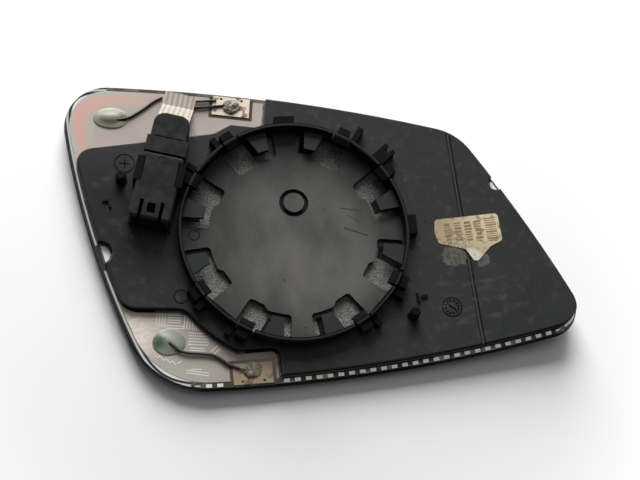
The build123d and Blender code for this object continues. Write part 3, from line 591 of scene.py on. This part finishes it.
# %% Adhesive finish
crease_size = 0.75
crease_warp = 0.9
crease_edge = (0.22, 0.03)
crease_depth = 0.1
glue_tones = ((46, 45, 44), (70, 69, 67))
crease_tone = (120, 118, 114)
pocket_shadow_tone = (4, 4, 4)


def cell_edges(finish, size, warp):
    """How far a point lies from the edges of small cells, which noise of the other size has bent."""
    noise = add_node(finish, "TexNoise", {"Vector": place_on(finish), "Scale": 1 / (warp * MM), "Detail": 3.0})
    bent = add_node(
        finish, "VectorMath", {0: noise.outputs["Color"], 1: (MM, MM, MM), 2: place_on(finish)},
        operation="MULTIPLY_ADD",
    )
    cells = add_node(
        finish, "TexVoronoi", {"Vector": bent.outputs[0], "Scale": 1 / (size * MM)}, feature="DISTANCE_TO_EDGE"
    )
    return cells.outputs["Distance"]


glue_film = new_finish("glue_film")
crease = step(glue_film, cell_edges(glue_film, crease_size, crease_warp), *crease_edge)
# Painted shadow: the sheet is painted black where the ledges' shadows fall on it.
pocket_shadow = ledge_shadow(glue_film)
crumpled = mottled(glue_film, 2, 4, *glue_tones)
feed(glue_film, "Base Color", coats(glue_film, crumpled, (crease, crease_tone), (pocket_shadow, pocket_shadow_tone)))
feed(glue_film, "Roughness", step(glue_film, pocket_shadow, 0.0, 1.0, 0.5, 1.0))
roughen(glue_film, crease, crease_depth)
dress(glue_film, "adhesive_sheet")

# %% [markdown]
# ## The mirror cell
# The cell is two lites of glass with a dimming gel between them. The front lite is clear glass with a faint green
# tint and a ground rim, and the rim and the glass's edge wall are painted dark as shade. The rear lite carries the
# mirror coating, so it is mostly metal in Blender's terms, dark along its edge where the seal shows through, with
# one bright line in the dark, and with dark stains from soldering round the two contact plates. A dark seal runs
# round the gel. Each finish gets a little unevenness, because a perfectly even surface looks like plastic.

# %% Front glass
glass_tints = ((0.80, 0.90, 0.85, 1), (0.86, 0.93, 0.89, 1))
front_wall = (-6.73, -6.65, -5.05, -4.97)
ground_depths = (0.8, 0.4)
ground_shade_tone = (56, 57, 54)

glass = new_finish("clear_glass", IOR=1.52)
# Painted shade: the glass's edge wall and its ground rim are painted dark.
ground_wall_shade = between(glass, rise_on(glass), *front_wall)
ground_rim = step(glass, edge_distance(glass), *ground_depths)
ground = calc(glass, "MAXIMUM", ground_wall_shade, ground_rim)
tint = blend(glass, cloud(glass, 30), *glass_tints)
feed(glass, "Base Color", coats(glass, tint, (ground, ground_shade_tone)))
feed(glass, "Transmission Weight", calc(glass, "SUBTRACT", 1.0, ground))
gloss(glass, 6, 4, 0.02, 0.08, (0.4, 0.8))
dress(glass, "front_glass")

# %% Places along the edge
plate_box = (8.4, 5.2)
plate_stations = ((-12.0, 0, 4.9), (-24.5, 2, 4.9))
box_fade = 0.2


def edge_point(x, arc, depth):
    """A point on the back at this x, this deep inside one edge of the glass, and the direction inwards."""
    start, end, radius = edge_arcs[arc]
    centre = arc_centre(start, end, radius)
    height = math.sqrt(radius**2 - (x - centre.x) ** 2)
    edge = Vector((x, centre.y + (height if start.y + end.y > 2 * centre.y else -height)))
    inward = (centre - edge).normalized()
    return edge + inward * depth, inward


def gaps_from(finish, middle, upward):
    """How far a point lies from a middle point, sideways and along the upward direction."""
    sideways = Vector((upward.y, -upward.x))
    return [distance_to_line(finish, middle, middle + run) for run in (upward, sideways)]


def in_box(finish, middle, upward, *halves):
    """Where a point lies inside a turned rectangle on the back."""
    gaps = zip(gaps_from(finish, middle, upward), halves)
    return both(finish, *[step(finish, gap, half + box_fade, half) for gap, half in gaps])


print("contact plates at x =", [station for station, arc, depth in plate_stations], "mm")

# %% Rear glass
silver_tones = ((0.62, 0.63, 0.61, 1), (0.74, 0.74, 0.72, 1))
seal_tone = (46, 44, 42)
bright_line = 1.55
bright_line_half = (0.47, 0.32)
bright_line_tone = (0.45, 0.46, 0.44, 1)
rear_back = (-3.15, -3.05)
stain_tone = (78, 67, 53)

silver = new_finish("mirror_coat", Metallic=0.6)
over_seal = step(silver, bare_distance(silver), seal_depth + seal_fade, seal_depth)
line_gap = calc(silver, "SUBTRACT", edge_distance(silver), bright_line)
line = step(silver, calc(silver, "ABSOLUTE", line_gap, 0), *bright_line_half)
line = calc(silver, "SUBTRACT", line, near_notch(silver))
on_back = step(silver, rise_on(silver), *rear_back)
line = both(silver, step(silver, line, 0.0, 1.0), on_back)
mirror = blend(silver, cloud(silver, 8, 4), *silver_tones)
mirror = coats(silver, mirror, (over_seal, seal_tone))
mirror = blend(silver, line, mirror, bright_line_tone)
for station, arc, depth in plate_stations:
    stained = in_box(silver, *edge_point(station, arc, depth), *plate_box)
    mirror = coats(silver, mirror, (stained, stain_tone))
feed(silver, "Base Color", mirror)
gloss(silver, 3, 4, 0.06, 0.2, (0.35, 0.8))
dress(silver, "rear_glass")

# %% Seal and gel
seal = two_tone("dark_seal", 2, 4, (40, 40, 38), (66, 64, 60), Roughness=0.5)
roughen(seal, cloud(seal, 0.6, 3), 0.05)
dress(seal, "edge_seal")

gel_tints = ((0.70, 0.78, 0.80, 1), (0.78, 0.85, 0.86, 1))
gel = new_finish("dimming_layer", Transmission_Weight=0.9, Roughness=0.08, IOR=1.45)
feed(gel, "Base Color", blend(gel, cloud(gel, 25), *gel_tints))
dress(gel, "dimming_gel")

# %% [markdown]
# ## Contact strips
# Two narrow metal strips run along the upper and lower edges of the cell. They are dull tinned metal with an olive
# grey lacquer that has worn patchily, so the finish goes between lacquer and bare metal with a cloud, and the same
# cloud makes the bare places shinier.

# %% Strip finish
lacquer_tone = (60, 58, 50)
bare_tone = (98, 96, 86)
worn_span = (0.45, 0.65)

worn_strip = new_finish("worn_strip", Metallic=0.6)
worn = drift(worn_strip, 4, 5, span=worn_span)
feed(worn_strip, "Base Color", blend(worn_strip, worn, paint(*lacquer_tone), paint(*bare_tone)))
gloss(worn_strip, 4, 5, 0.55, 0.3, worn_span)
roughen(worn_strip, cloud(worn_strip, 0.8, 3), 0.03)
dress(worn_strip, "upper_bus_clip", "lower_bus_clip")

# %% [markdown]
# ## Connector
# The plug housing and its cap are moulded in a deeper black than the carrier, with a coarser texture and a little
# rubbed sheen. The pins inside are tinned brass. The ribbon is a flat cable: pale insulation with its
# conductors showing through as tan stripes. Stripes that run along the ribbon are a wave across it, so the place
# is first turned into the ribbon's own direction.

# %% Connector and pin finishes
housing_tone = (13, 13, 13)
worn_housing_tone = (24, 24, 23)

housing = new_finish("housing_plastic", Specular_IOR_Level=0.35)
worn_sheen = drift(housing, 5, 5, span=(0.4, 0.75))
feed(housing, "Base Color", blend(housing, worn_sheen, paint(*housing_tone), paint(*worn_housing_tone)))
gloss(housing, 3, 4, 0.92, 0.78)
roughen(housing, cloud(housing, 0.4, 3), 0.025)
dress(housing, "connector_housing", "connector_cap")

tinned_pin = two_tone("tinned_pin", 0.7, 3, (176, 168, 140), (208, 204, 190), Metallic=1.0)
gloss(tinned_pin, 0.5, 3, 0.25, 0.45)
dress(tinned_pin, *[f"contact_pin_{number}" for number in range(1, 5)])

# %% Ribbon finish
connector_turn = -21.7
connector_place = Vector((-51.5, 10.1))
stripe_pitch = 1.9
stripe_scale = math.pi / (10 * stripe_pitch * MM)
stripe_edge = (0.35, 0.75)
stripe_depth = 0.12
ribbon_tone = (164, 154, 142)
stripe_tone = (142, 131, 119)

ribbon = new_finish("flat_cable", Roughness=0.38)
shifted = add_node(ribbon, "Mapping", {"Vector": place_on(ribbon), "Location": (*(-connector_place * MM), 0)})
along_ribbon = add_node(
    ribbon, "VectorRotate",
    {"Vector": shifted.outputs[0], "Axis": (0, 0, 1), "Angle": -math.radians(connector_turn)},
)
wave = add_node(
    ribbon, "TexWave",
    {"Vector": along_ribbon.outputs[0], "Scale": stripe_scale, "Distortion": 0.3, "Detail Scale": 300.0},
    bands_direction="X",
)
stripe = step(ribbon, wave.outputs["Fac"], *stripe_edge)
feed(ribbon, "Base Color", blend(ribbon, stripe, paint(*ribbon_tone), paint(*stripe_tone)))
roughen(ribbon, wave.outputs["Fac"], stripe_depth)
dress(ribbon, "ribbon_cable")

# %% [markdown]
# ## Contact plates and leads
# The two contact plates are copper alloy, dulled to beige, the lower one browner, with flux burnt on at the joint.
# Flux is a stain, so it is a cloud that only starts above a threshold. The jumper wires have dark sleeves, their
# strands are bare copper, and the two short leads have a dark coating.

# %% Contact plate finish
plate_tones = ((204, 189, 171), (222, 207, 189))
lower_side_span = (0.0, -20.0)
lower_plate_tone = (150, 133, 108)
flux_tone = (98, 78, 58)

contact = new_finish("contact_metal", Metallic=0.3)
lower_side = step(contact, along_on(contact, 1), *lower_side_span)
beige_metal = mottled(contact, 6, 3, *plate_tones)
flux = drift(contact, 3, 6, span=(0.52, 0.66))
layers = ((lower_side, lower_plate_tone), (flux, flux_tone))
feed(contact, "Base Color", coats(contact, beige_metal, *layers))
gloss(contact, 3, 6, 0.3, 0.55, (0.45, 0.6))
roughen(contact, cloud(contact, 1.2, 4), 0.06)
dress(contact, "upper_contact_plate", "lower_contact_plate")

# %% Wire finishes
wire_sleeve = two_tone("wire_sleeve", 2, 4, (34, 27, 25), (58, 45, 40), Specular_IOR_Level=0.5)
gloss(wire_sleeve, 1, 3, 0.3, 0.5)
dress(wire_sleeve, "upper_insulation", "lower_insulation")

copper_strand = two_tone("copper_strand", 0.6, 3, (84, 70, 58), (118, 98, 80), Metallic=1.0)
gloss(copper_strand, 0.5, 3, 0.3, 0.55)
dress(copper_strand, "upper_conductor", "lower_conductor")

bare_lead = two_tone("bare_lead", 1, 4, (20, 18, 17), (46, 42, 39), Metallic=0.2)
gloss(bare_lead, 0.6, 3, 0.3, 0.55)

# %% [markdown]
# ## Solder and resin
# Solder and resin were liquid when they were put on, so neither has a sharp edge. The CAD drops have the right
# place and size but crisp rims. A voxel remesh of a copy melts the rims, smooth passes round them, and many
# more that only act on the height let the drop sink as a liquid does and leave its outline alone. For the solder a
# Displace modifier with a clouds texture adds the lumps of a hand-made joint. Without a texture the same modifier
# swells the two short leads by the thickness of their dark coating.

# %% Helpers for melted copies
merge_gap = 0.002
lump_size = 2.0
smooth_factor = 0.5


def only(piece):
    """Leaves one object selected and active."""
    bpy.ops.object.select_all(action="DESELECT")
    piece.select_set(True)
    bpy.context.view_layer.objects.active = piece


def modify(piece, kind, **options):
    only(piece)
    modifier = piece.modifiers.new(kind.lower(), kind)
    for option, value in options.items():
        setattr(modifier, option, value)
    bpy.ops.object.modifier_apply(modifier=modifier.name)


def merged_copy(node_name, piece_name):
    """A copy of a CAD node's mesh whose loose triangles are merged into one skin."""
    piece = bpy.data.objects.new(piece_name, nodes[node_name].data.copy())
    bpy.context.scene.collection.objects.link(piece)
    piece.data.materials.clear()
    only(piece)
    bpy.ops.object.mode_set(mode="EDIT")
    bpy.ops.mesh.select_all(action="SELECT")
    bpy.ops.mesh.remove_doubles(threshold=merge_gap * MM)
    bpy.ops.mesh.normals_make_consistent(inside=False)
    bpy.ops.object.mode_set(mode="OBJECT")
    return piece


def melt(node_name, piece_name, voxel, rounding, sinking, lumps=0.0):
    """A node's form with its rims rounded and its height sunk by so many passes, and lumps of this height."""
    piece = merged_copy(node_name, piece_name)
    modify(piece, "REMESH", mode="VOXEL", voxel_size=voxel * MM, use_smooth_shade=True)
    modify(piece, "SMOOTH", factor=smooth_factor, iterations=rounding)
    modify(piece, "SMOOTH", factor=smooth_factor, iterations=sinking, use_x=False, use_y=False)
    if lumps:
        texture = bpy.data.textures.new(piece_name + "_lumps", "CLOUDS")
        texture.noise_scale = lump_size * MM
        modify(piece, "DISPLACE", texture=texture, strength=lumps * MM, mid_level=0.5)
    return piece


def finish_piece(piece, finish, slot_name, *replaced):
    """Dresses a new piece, lets it ride on the body, and hides the nodes that it replaces."""
    piece.data.materials.clear()
    piece.data.materials.append(finish)
    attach(piece, "root")
    if replaced:
        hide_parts(*replaced)
    print(piece.name, "has", len(piece.data.polygons), "faces")


print("lumps of about", lump_size, "mm")

# %% Resin and solder finishes
olive_tones = ((112, 112, 94), (136, 134, 116))
green_tones = ((122, 132, 116), (144, 150, 134))
green_span = (10.0, -10.0)
patch_spot = ((-55.2, -31.8), 4.2, 0.8)
patch_tone = (72, 92, 74)
film_middle = Vector((-58.2, 55.5))
film_half = Vector((6.8, 4.5))
film_band = (0.5, 0.75, 1.4, 1.6)
film_tone = (148, 139, 124)
solder_tone = (138, 134, 121)
burnt_tone = (100, 89, 74)


def oval_distance(finish, middle, halves):
    """Distance from the middle of an upright oval, 1 on its rim."""
    gaps = zip(gaps_from(finish, middle, Vector((0, 1))), halves)
    parts = [calc(finish, "DIVIDE", gap, half) for gap, half in gaps]
    squares = [both(finish, part, part) for part in parts]
    return calc(finish, "SQRT", calc(finish, "ADD", *squares), 0)


cast_resin = new_finish(
    "cast_resin", Roughness=0.45, Subsurface_Weight=0.8, Subsurface_Radius=(1, 1, 1), Subsurface_Scale=2 * MM
)
olive = mottled(cast_resin, 5, 4, *olive_tones)
green = mottled(cast_resin, 5, 4, *green_tones)
resin = blend(cast_resin, step(cast_resin, along_on(cast_resin, 1), *green_span), olive, green)
patch = spot(cast_resin, *patch_spot)
resin_film = between(cast_resin, oval_distance(cast_resin, film_middle, film_half), *film_band)
feed(cast_resin, "Base Color", coats(cast_resin, resin, (patch, patch_tone), (resin_film, film_tone)))
roughen(cast_resin, cloud(cast_resin, 3, 2), 0.06)

solder = new_finish("grey_solder", Metallic=0.15)
burnt = drift(solder, 1.4, 5, span=(0.45, 0.6))
feed(solder, "Base Color", blend(solder, burnt, paint(*solder_tone), paint(*burnt_tone)))
gloss(solder, 1, 4, 0.6, 0.85, (0.35, 0.65))
roughen(solder, cloud(solder, 0.5, 4), 0.08)
print("finishes:", cast_resin.name, "and", solder.name)

# %% Melted drops and coated leads
drop_melting = {"voxel": 0.22, "rounding": 90, "sinking": 300}
joint_melting = {"voxel": 0.16, "rounding": 12, "sinking": 300, "lumps": 1.0}
lead_coat = 0.16

for side in ("upper", "lower"):
    drop = melt(f"{side}_potting", f"{side}_resin_drop", **drop_melting)
    finish_piece(drop, cast_resin, "potting", f"{side}_potting")
    joint = melt(f"{side}_solder", f"{side}_solder_joint", **joint_melting)
    finish_piece(joint, solder, "solder", f"{side}_solder")

for side in ("outer", "inner"):
    lead = merged_copy(f"{side}_lead", f"{side}_coated_lead")
    modify(lead, "DISPLACE", strength=lead_coat * MM, mid_level=0.0)
    bpy.ops.object.shade_smooth_by_angle()
    finish_piece(lead, bare_lead, "bare_lead", f"{side}_lead")

# %% [markdown]
# ## Flat marks that follow the curved back
# Tracks, printed bars, rings and scratches are all thin things on a gently curved surface. Modelling each on the
# curve would be slow. Instead each is drawn flat above the part, then a Shrinkwrap modifier drops it straight
# down onto the piece that carries it, and Solidify gives it a thickness that reaches a little into that piece.

# %% Helpers for flat marks
above = 30 * MM
strip_cuts = 2
ring_corners = 40


def joined(name, flat_pieces):
    """Several flat objects as one, with their places in the mesh."""
    only(flat_pieces[0])
    for flat in flat_pieces:
        flat.select_set(True)
    bpy.ops.object.transform_apply(location=True, rotation=True, scale=True)
    if len(flat_pieces) > 1:
        bpy.ops.object.join()
    piece = bpy.context.object
    piece.name = name
    piece.data.name = name
    return piece


def flat_bars(name, bars):
    """Bars (x, y, length, width, turn), copies of one divided strip, joined into one flat piece."""
    bpy.ops.object.select_all(action="DESELECT")
    bpy.ops.mesh.primitive_plane_add(size=1, location=(0, 0, above))
    strip = bpy.context.object
    bpy.ops.object.mode_set(mode="EDIT")
    bpy.ops.mesh.subdivide(number_cuts=strip_cuts)
    bpy.ops.object.mode_set(mode="OBJECT")
    copies = []
    for x, y, length, width, turn in bars:
        only(strip)
        bpy.ops.object.duplicate()
        copy = bpy.context.object
        copy.location = (x * MM, y * MM, above)
        copy.rotation_euler = (0, 0, math.radians(turn))
        copy.scale = (length * MM, width * MM, 1)
        copies.append(copy)
    only(strip)
    bpy.ops.object.delete()
    return joined(name, copies)


def turned(x, y, turn):
    """An offset on the back, turned by so many degrees."""
    return Matrix.Rotation(math.radians(turn), 2) @ Vector((x, y))


def bar_between(start, end, width):
    """A bar from one point to another."""
    middle = (Vector(start) + Vector(end)) / 2
    run = Vector(end) - Vector(start)
    return (*middle, run.length, width, math.degrees(math.atan2(run.y, run.x)))


def flat_ring(x, y, radius, width):
    """A flat ring: a disc, inset, with its middle deleted."""
    bpy.ops.object.select_all(action="DESELECT")
    bpy.ops.mesh.primitive_circle_add(
        vertices=ring_corners, radius=radius * MM, fill_type="NGON", location=(x * MM, y * MM, above)
    )
    ring = bpy.context.object
    bpy.ops.object.mode_set(mode="EDIT")
    bpy.ops.mesh.inset(thickness=width * MM)
    bpy.ops.mesh.delete(type="FACE")
    bpy.ops.object.mode_set(mode="OBJECT")
    return ring


def lay_on(node_name, piece, finish, slot_name, proud, sunk=0.05):
    """Drops a flat piece onto a CAD node, to stand proud and reach in by this much, and finishes it."""
    modify(
        piece, "SHRINKWRAP", target=nodes[node_name], wrap_method="PROJECT", use_project_z=True,
        use_negative_direction=True, use_positive_direction=False, offset=proud * MM,
    )
    modify(piece, "SOLIDIFY", thickness=(proud + sunk) * MM, offset=-1)
    highest = max(corner.co.z for corner in piece.data.vertices)
    print(piece.name, "lies on", node_name, "up to", round(highest / MM, 2), "mm")
    finish_piece(piece, finish, slot_name)


print("flat marks start", round(above / MM), "mm up")

# %% [markdown]
# ## Etched tracks on the foil
# Near the lower terminal the heater's conductor shows as a maze of pale lines: groups of parallel bars that turn
# at right angles to each other, and one zigzag. Each group is one row of a table and a loop over its bars.

# %% Heater tracks
maze_turn = -12.0
track_width = 0.34
track_tones = ((204, 199, 190), (224, 220, 212))
# Each row: x, y, count of bars, pitch, length, turn from the maze's direction.
track_groups = (
    (-52.3, -23.0, 4, 0.95, 7.0, 88),
    (-47.6, -23.4, 6, 0.9, 4.8, 0),
    (-48.0, -27.3, 2, 0.9, 6.6, 0),
    (-43.4, -25.6, 3, 0.95, 6.4, 88),
    (-40.3, -27.9, 5, 0.8, 3.8, 88),
    (-40.6, -32.9, 5, 1.05, 7.2, 0),
    (-41.6, -36.6, 2, 0.9, 5.0, 0),
    (-35.4, -37.8, 2, 1.3, 3.4, 45),
    (-43.3, -43.6, 1, 1.0, 3.6, 0),
    (-43.0, -45.0, 2, 0.9, 8.0, -6),
    (-48.6, -40.2, 1, 1.0, 1.8, 30),
)
zigzag_count = 7
zigzag_start = Vector((-56.4, -36.4))
zigzag_pitch = Vector((1.0, -0.62))
zigzag_length = 1.3
zigzag_turns = (-52, 38)


def bar_group(x, y, count, pitch, length, turn):
    """Parallel bars round a middle point."""
    across = turned(0, 1, turn)
    offsets = [(index - (count - 1) / 2) * pitch for index in range(count)]
    return [(x + across.x * gap, y + across.y * gap, length, track_width, turn) for gap in offsets]


tracks = []
for *group, group_turn in track_groups:
    tracks += bar_group(*group, maze_turn + group_turn)
for index in range(zigzag_count):
    place = zigzag_start + index * zigzag_pitch
    tracks.append((*place, zigzag_length, track_width, maze_turn + zigzag_turns[index % 2]))

pale_track = two_tone("pale_track", 2, 4, *track_tones, Metallic=0.2, Roughness=0.35)
lay_on("heater_foil", flat_bars("heater_tracks", tracks), pale_track, "heater_foil", 0.04, 0.03)

# %% [markdown]
# ## Painted reflections in the lower strip's windows
# Along the lower edge the strip has a row of small windows, where the mirror coating shows. In the CAD model they
# are plain holes. A thin pad in each, a little larger than the hole, brings the coating up to the strip's face, and
# its near white is a painted reflection of the mirror's flash. One bar per window follows the arc of the edge,
# with the same pitch as the holes.

# %% Window pads
window_pitch = 3.9
window_first = -42.1
window_count = 33
window_depth = 1.5
window_size = (2.05, 1.25)
window_clear = 9.0
strip_height = 0.36
lower_station, lower_arc = plate_stations[1][:2]

reflection_pads = []
for index in range(window_count):
    x = window_first + (index + 0.5) * window_pitch
    if abs(x - lower_station) > window_clear:
        place, inward = edge_point(x, lower_arc, window_depth)
        reflection_pads.append((*place, *window_size, math.degrees(math.atan2(-inward.x, inward.y))))

# Painted reflection: the pads are near white, as the mirror would flash in the light.
window_reflection_pad = two_tone("window_reflection_pad", 3, 4, (196, 196, 190), (226, 226, 221), Metallic=0.4, Roughness=0.3)
lay_on("rear_glass", flat_bars("window_reflection_pads", reflection_pads), window_reflection_pad, "mirror_glass", strip_height)

# %% [markdown]
# ## Paper label
# The label is cream paper, torn along its lower edge and stained. Paper is rough and its colour is never even, so
# one cloud mixes two creams, a finer one adds stains, and the fibre is a fine bump. Near the tear its face has
# cracked into small flakes, the cells of a Voronoi pattern with brown edges, and the torn tip shows the white
# core. Its print is replaced by plain bars: a ladder of lines at one end and short dashes in columns.

# %% Label paper
cream_tones = ((146, 131, 101), (166, 151, 120))
bleached_spot = ((75.0, -6.0), 22.0, 3.0)
bleached_tone = (196, 183, 155)
stain_span = (0.52, 0.7)
paper_stain_tone = (132, 113, 82)
cracked_spot = ((58.5, -14.5), 7.5, 3.5, 0.0, 0.85)
flake_size = 1.7
flake_warp = 1.5
flake_edge = (0.1, 0.03)
flake_pale = 0.45
flake_tone = (186, 176, 152)
crack_tone = (116, 97, 66)
torn_spot = ((63.0, -20.5), 5.5, 3.0)
torn_span = (0.3, 0.45)
core_tone = (196, 189, 174)

paper = new_finish("label_paper", Roughness=0.85)
bleached = spot(paper, *bleached_spot)
stained = drift(paper, 2.2, 5, span=stain_span)
cracked = spot(paper, *cracked_spot)
flake_edges = step(paper, cell_edges(paper, flake_size, flake_warp), *flake_edge)
torn = both(paper, spot(paper, *torn_spot), drift(paper, 1.8, 5, span=torn_span))
cream = coats(
    paper, mottled(paper, 6, 4, *cream_tones),
    (bleached, bleached_tone), (stained, paper_stain_tone),
    (both(paper, cracked, flake_pale), flake_tone), (both(paper, cracked, flake_edges), crack_tone),
    (torn, core_tone),
)
feed(paper, "Base Color", cream)
roughen(paper, cloud(paper, 0.25, 3), 0.02)
dress(paper, "paper_label")

# %% Label print
label_corner = Vector((53.0, -3.0))
label_turn = -3.5
ladder_lines = 11
ladder_along = 20.6
ladder_down = 1.7
ladder_pitch = 0.88
ladder_length = 4.2
ladder_widths = (0.3, 0.45, 0.6)
dash_columns = (4.2, 8.2, 12.0, 15.8)
dash_rows = (2.0, 9.5)
dash_heights = (0.4, 1.3)
dash_gap = 0.4
dash_width = 3.0
dash_shares = (0.6, 1.0)
label_random = random.Random(7)


def label_bar(along, down, length, width, turn):
    """A bar at a place measured along and down from the label's corner."""
    place = label_corner + turned(along, -down, label_turn)
    return (*place, length, width, label_turn + turn)


print_bars = []
for line in range(ladder_lines):
    line_width = label_random.choice(ladder_widths)
    print_bars.append(label_bar(ladder_along, ladder_down + ladder_pitch * line, ladder_length, line_width, 0))
for column in dash_columns:
    down, lowest = dash_rows
    while down < lowest:
        dash = label_random.uniform(*dash_heights)
        share = label_random.uniform(*dash_shares)
        print_bars.append(label_bar(column, down + dash / 2, dash, share * dash_width, 90))
        down += dash + dash_gap

brown_ink = two_tone("brown_ink", 1.2, 5, (104, 84, 54), (144, 124, 90), Roughness=0.8)
lay_on("paper_label", flat_bars("label_print", print_bars), brown_ink, "paper", 0.02, 0.03)

# %% [markdown]
# ## Moulded marks
# Mouldings carry small signs of their making: round dials that tell when the part was made, the rings left by the
# ejector pins, and a faint raised frame. They have no digits or letters here: the first dial is a ring with a
# cross, the second a ring with plain ticks and a pointer. Ticks are one bar turned round the middle in a loop.

# %% Dials
dial_radius = 3.7
dial_line = 0.36
dial_proud = 0.08
cross_dial = (-56.1, 36.0)
tick_dial = (51.4, -37.2)
tick_count = 12
tick_radius = 2.4
tick_length = 0.9
tick_width = 0.6
pointer_turn = -48.0
pointer_length = 3.3
pointer_width = 0.6

moulded_line = two_tone("moulded_line", 1.5, 4, (3, 3, 3), (14, 14, 14), Roughness=0.7, Specular_IOR_Level=0.05)
cross = [(*cross_dial, dial_radius, dial_line, angle) for angle in (maze_turn, maze_turn + 90)]
ticks = []
for index in range(tick_count):
    angle = 360 * index / tick_count
    ticks.append((*(Vector(tick_dial) + turned(tick_radius, 0, angle)), tick_length, tick_width, angle))
ticks.append((*tick_dial, pointer_length, pointer_width, pointer_turn))

for number, (place, bars) in enumerate(((cross_dial, cross), (tick_dial, ticks)), start=1):
    signs = flat_bars("signs", bars)
    dial = joined(f"moulded_dial_{number}", [flat_ring(*place, dial_radius, dial_line), signs])
    lay_on("carrier_plate", dial, moulded_line, "carrier", dial_proud)

# %% Ejector marks and frame
ejector_marks = ((-35.8, 4.9, 2.05), (-44.3, -17.3, 2.6))
ejector_proud = 0.05
frame_corners = ((50.3, 25.0), (62.4, 23.3), (60.9, 12.1), (49.6, 13.7))
frame_proud = 0.03

for number, (x, y, radius) in enumerate(ejector_marks, start=1):
    mark = joined(f"ejector_mark_{number}", [flat_ring(x, y, radius, dial_line)])
    lay_on("carrier_plate", mark, moulded_line, "carrier", ejector_proud)

frame_ends = frame_corners[1:] + frame_corners[:1]
frame_lines = [bar_between(start, end, dial_line) for start, end in zip(frame_corners, frame_ends)]
lay_on("carrier_plate", flat_bars("moulded_frame", frame_lines), plastic, "carrier", frame_proud)

# %% [markdown]
# ## Scratches
# Three scratches go through the dust on the floor of the ring, down to the black plastic. A scratch could be one
# more mask in the carrier's finish. A long sliver of bare plastic, so thin that it only shows as a line, is simpler
# to place, and it keeps its sharp edge.

# %% Scratches
scratch_runs = (
    ((19.1, 7.3), (27.0, 4.9), 0.42),
    ((20.8, 4.3), (25.3, 0.7), 0.3),
    ((19.0, -0.6), (27.0, -4.9), 0.5),
)
scuffed = two_tone("scuffed_plastic", 2, 5, (10, 10, 10), (24, 24, 23), Roughness=0.7)
scratches = flat_bars("scratches", [bar_between(*run) for run in scratch_runs])
lay_on("carrier_plate", scratches, scuffed, "carrier", 0.015, 0.03)
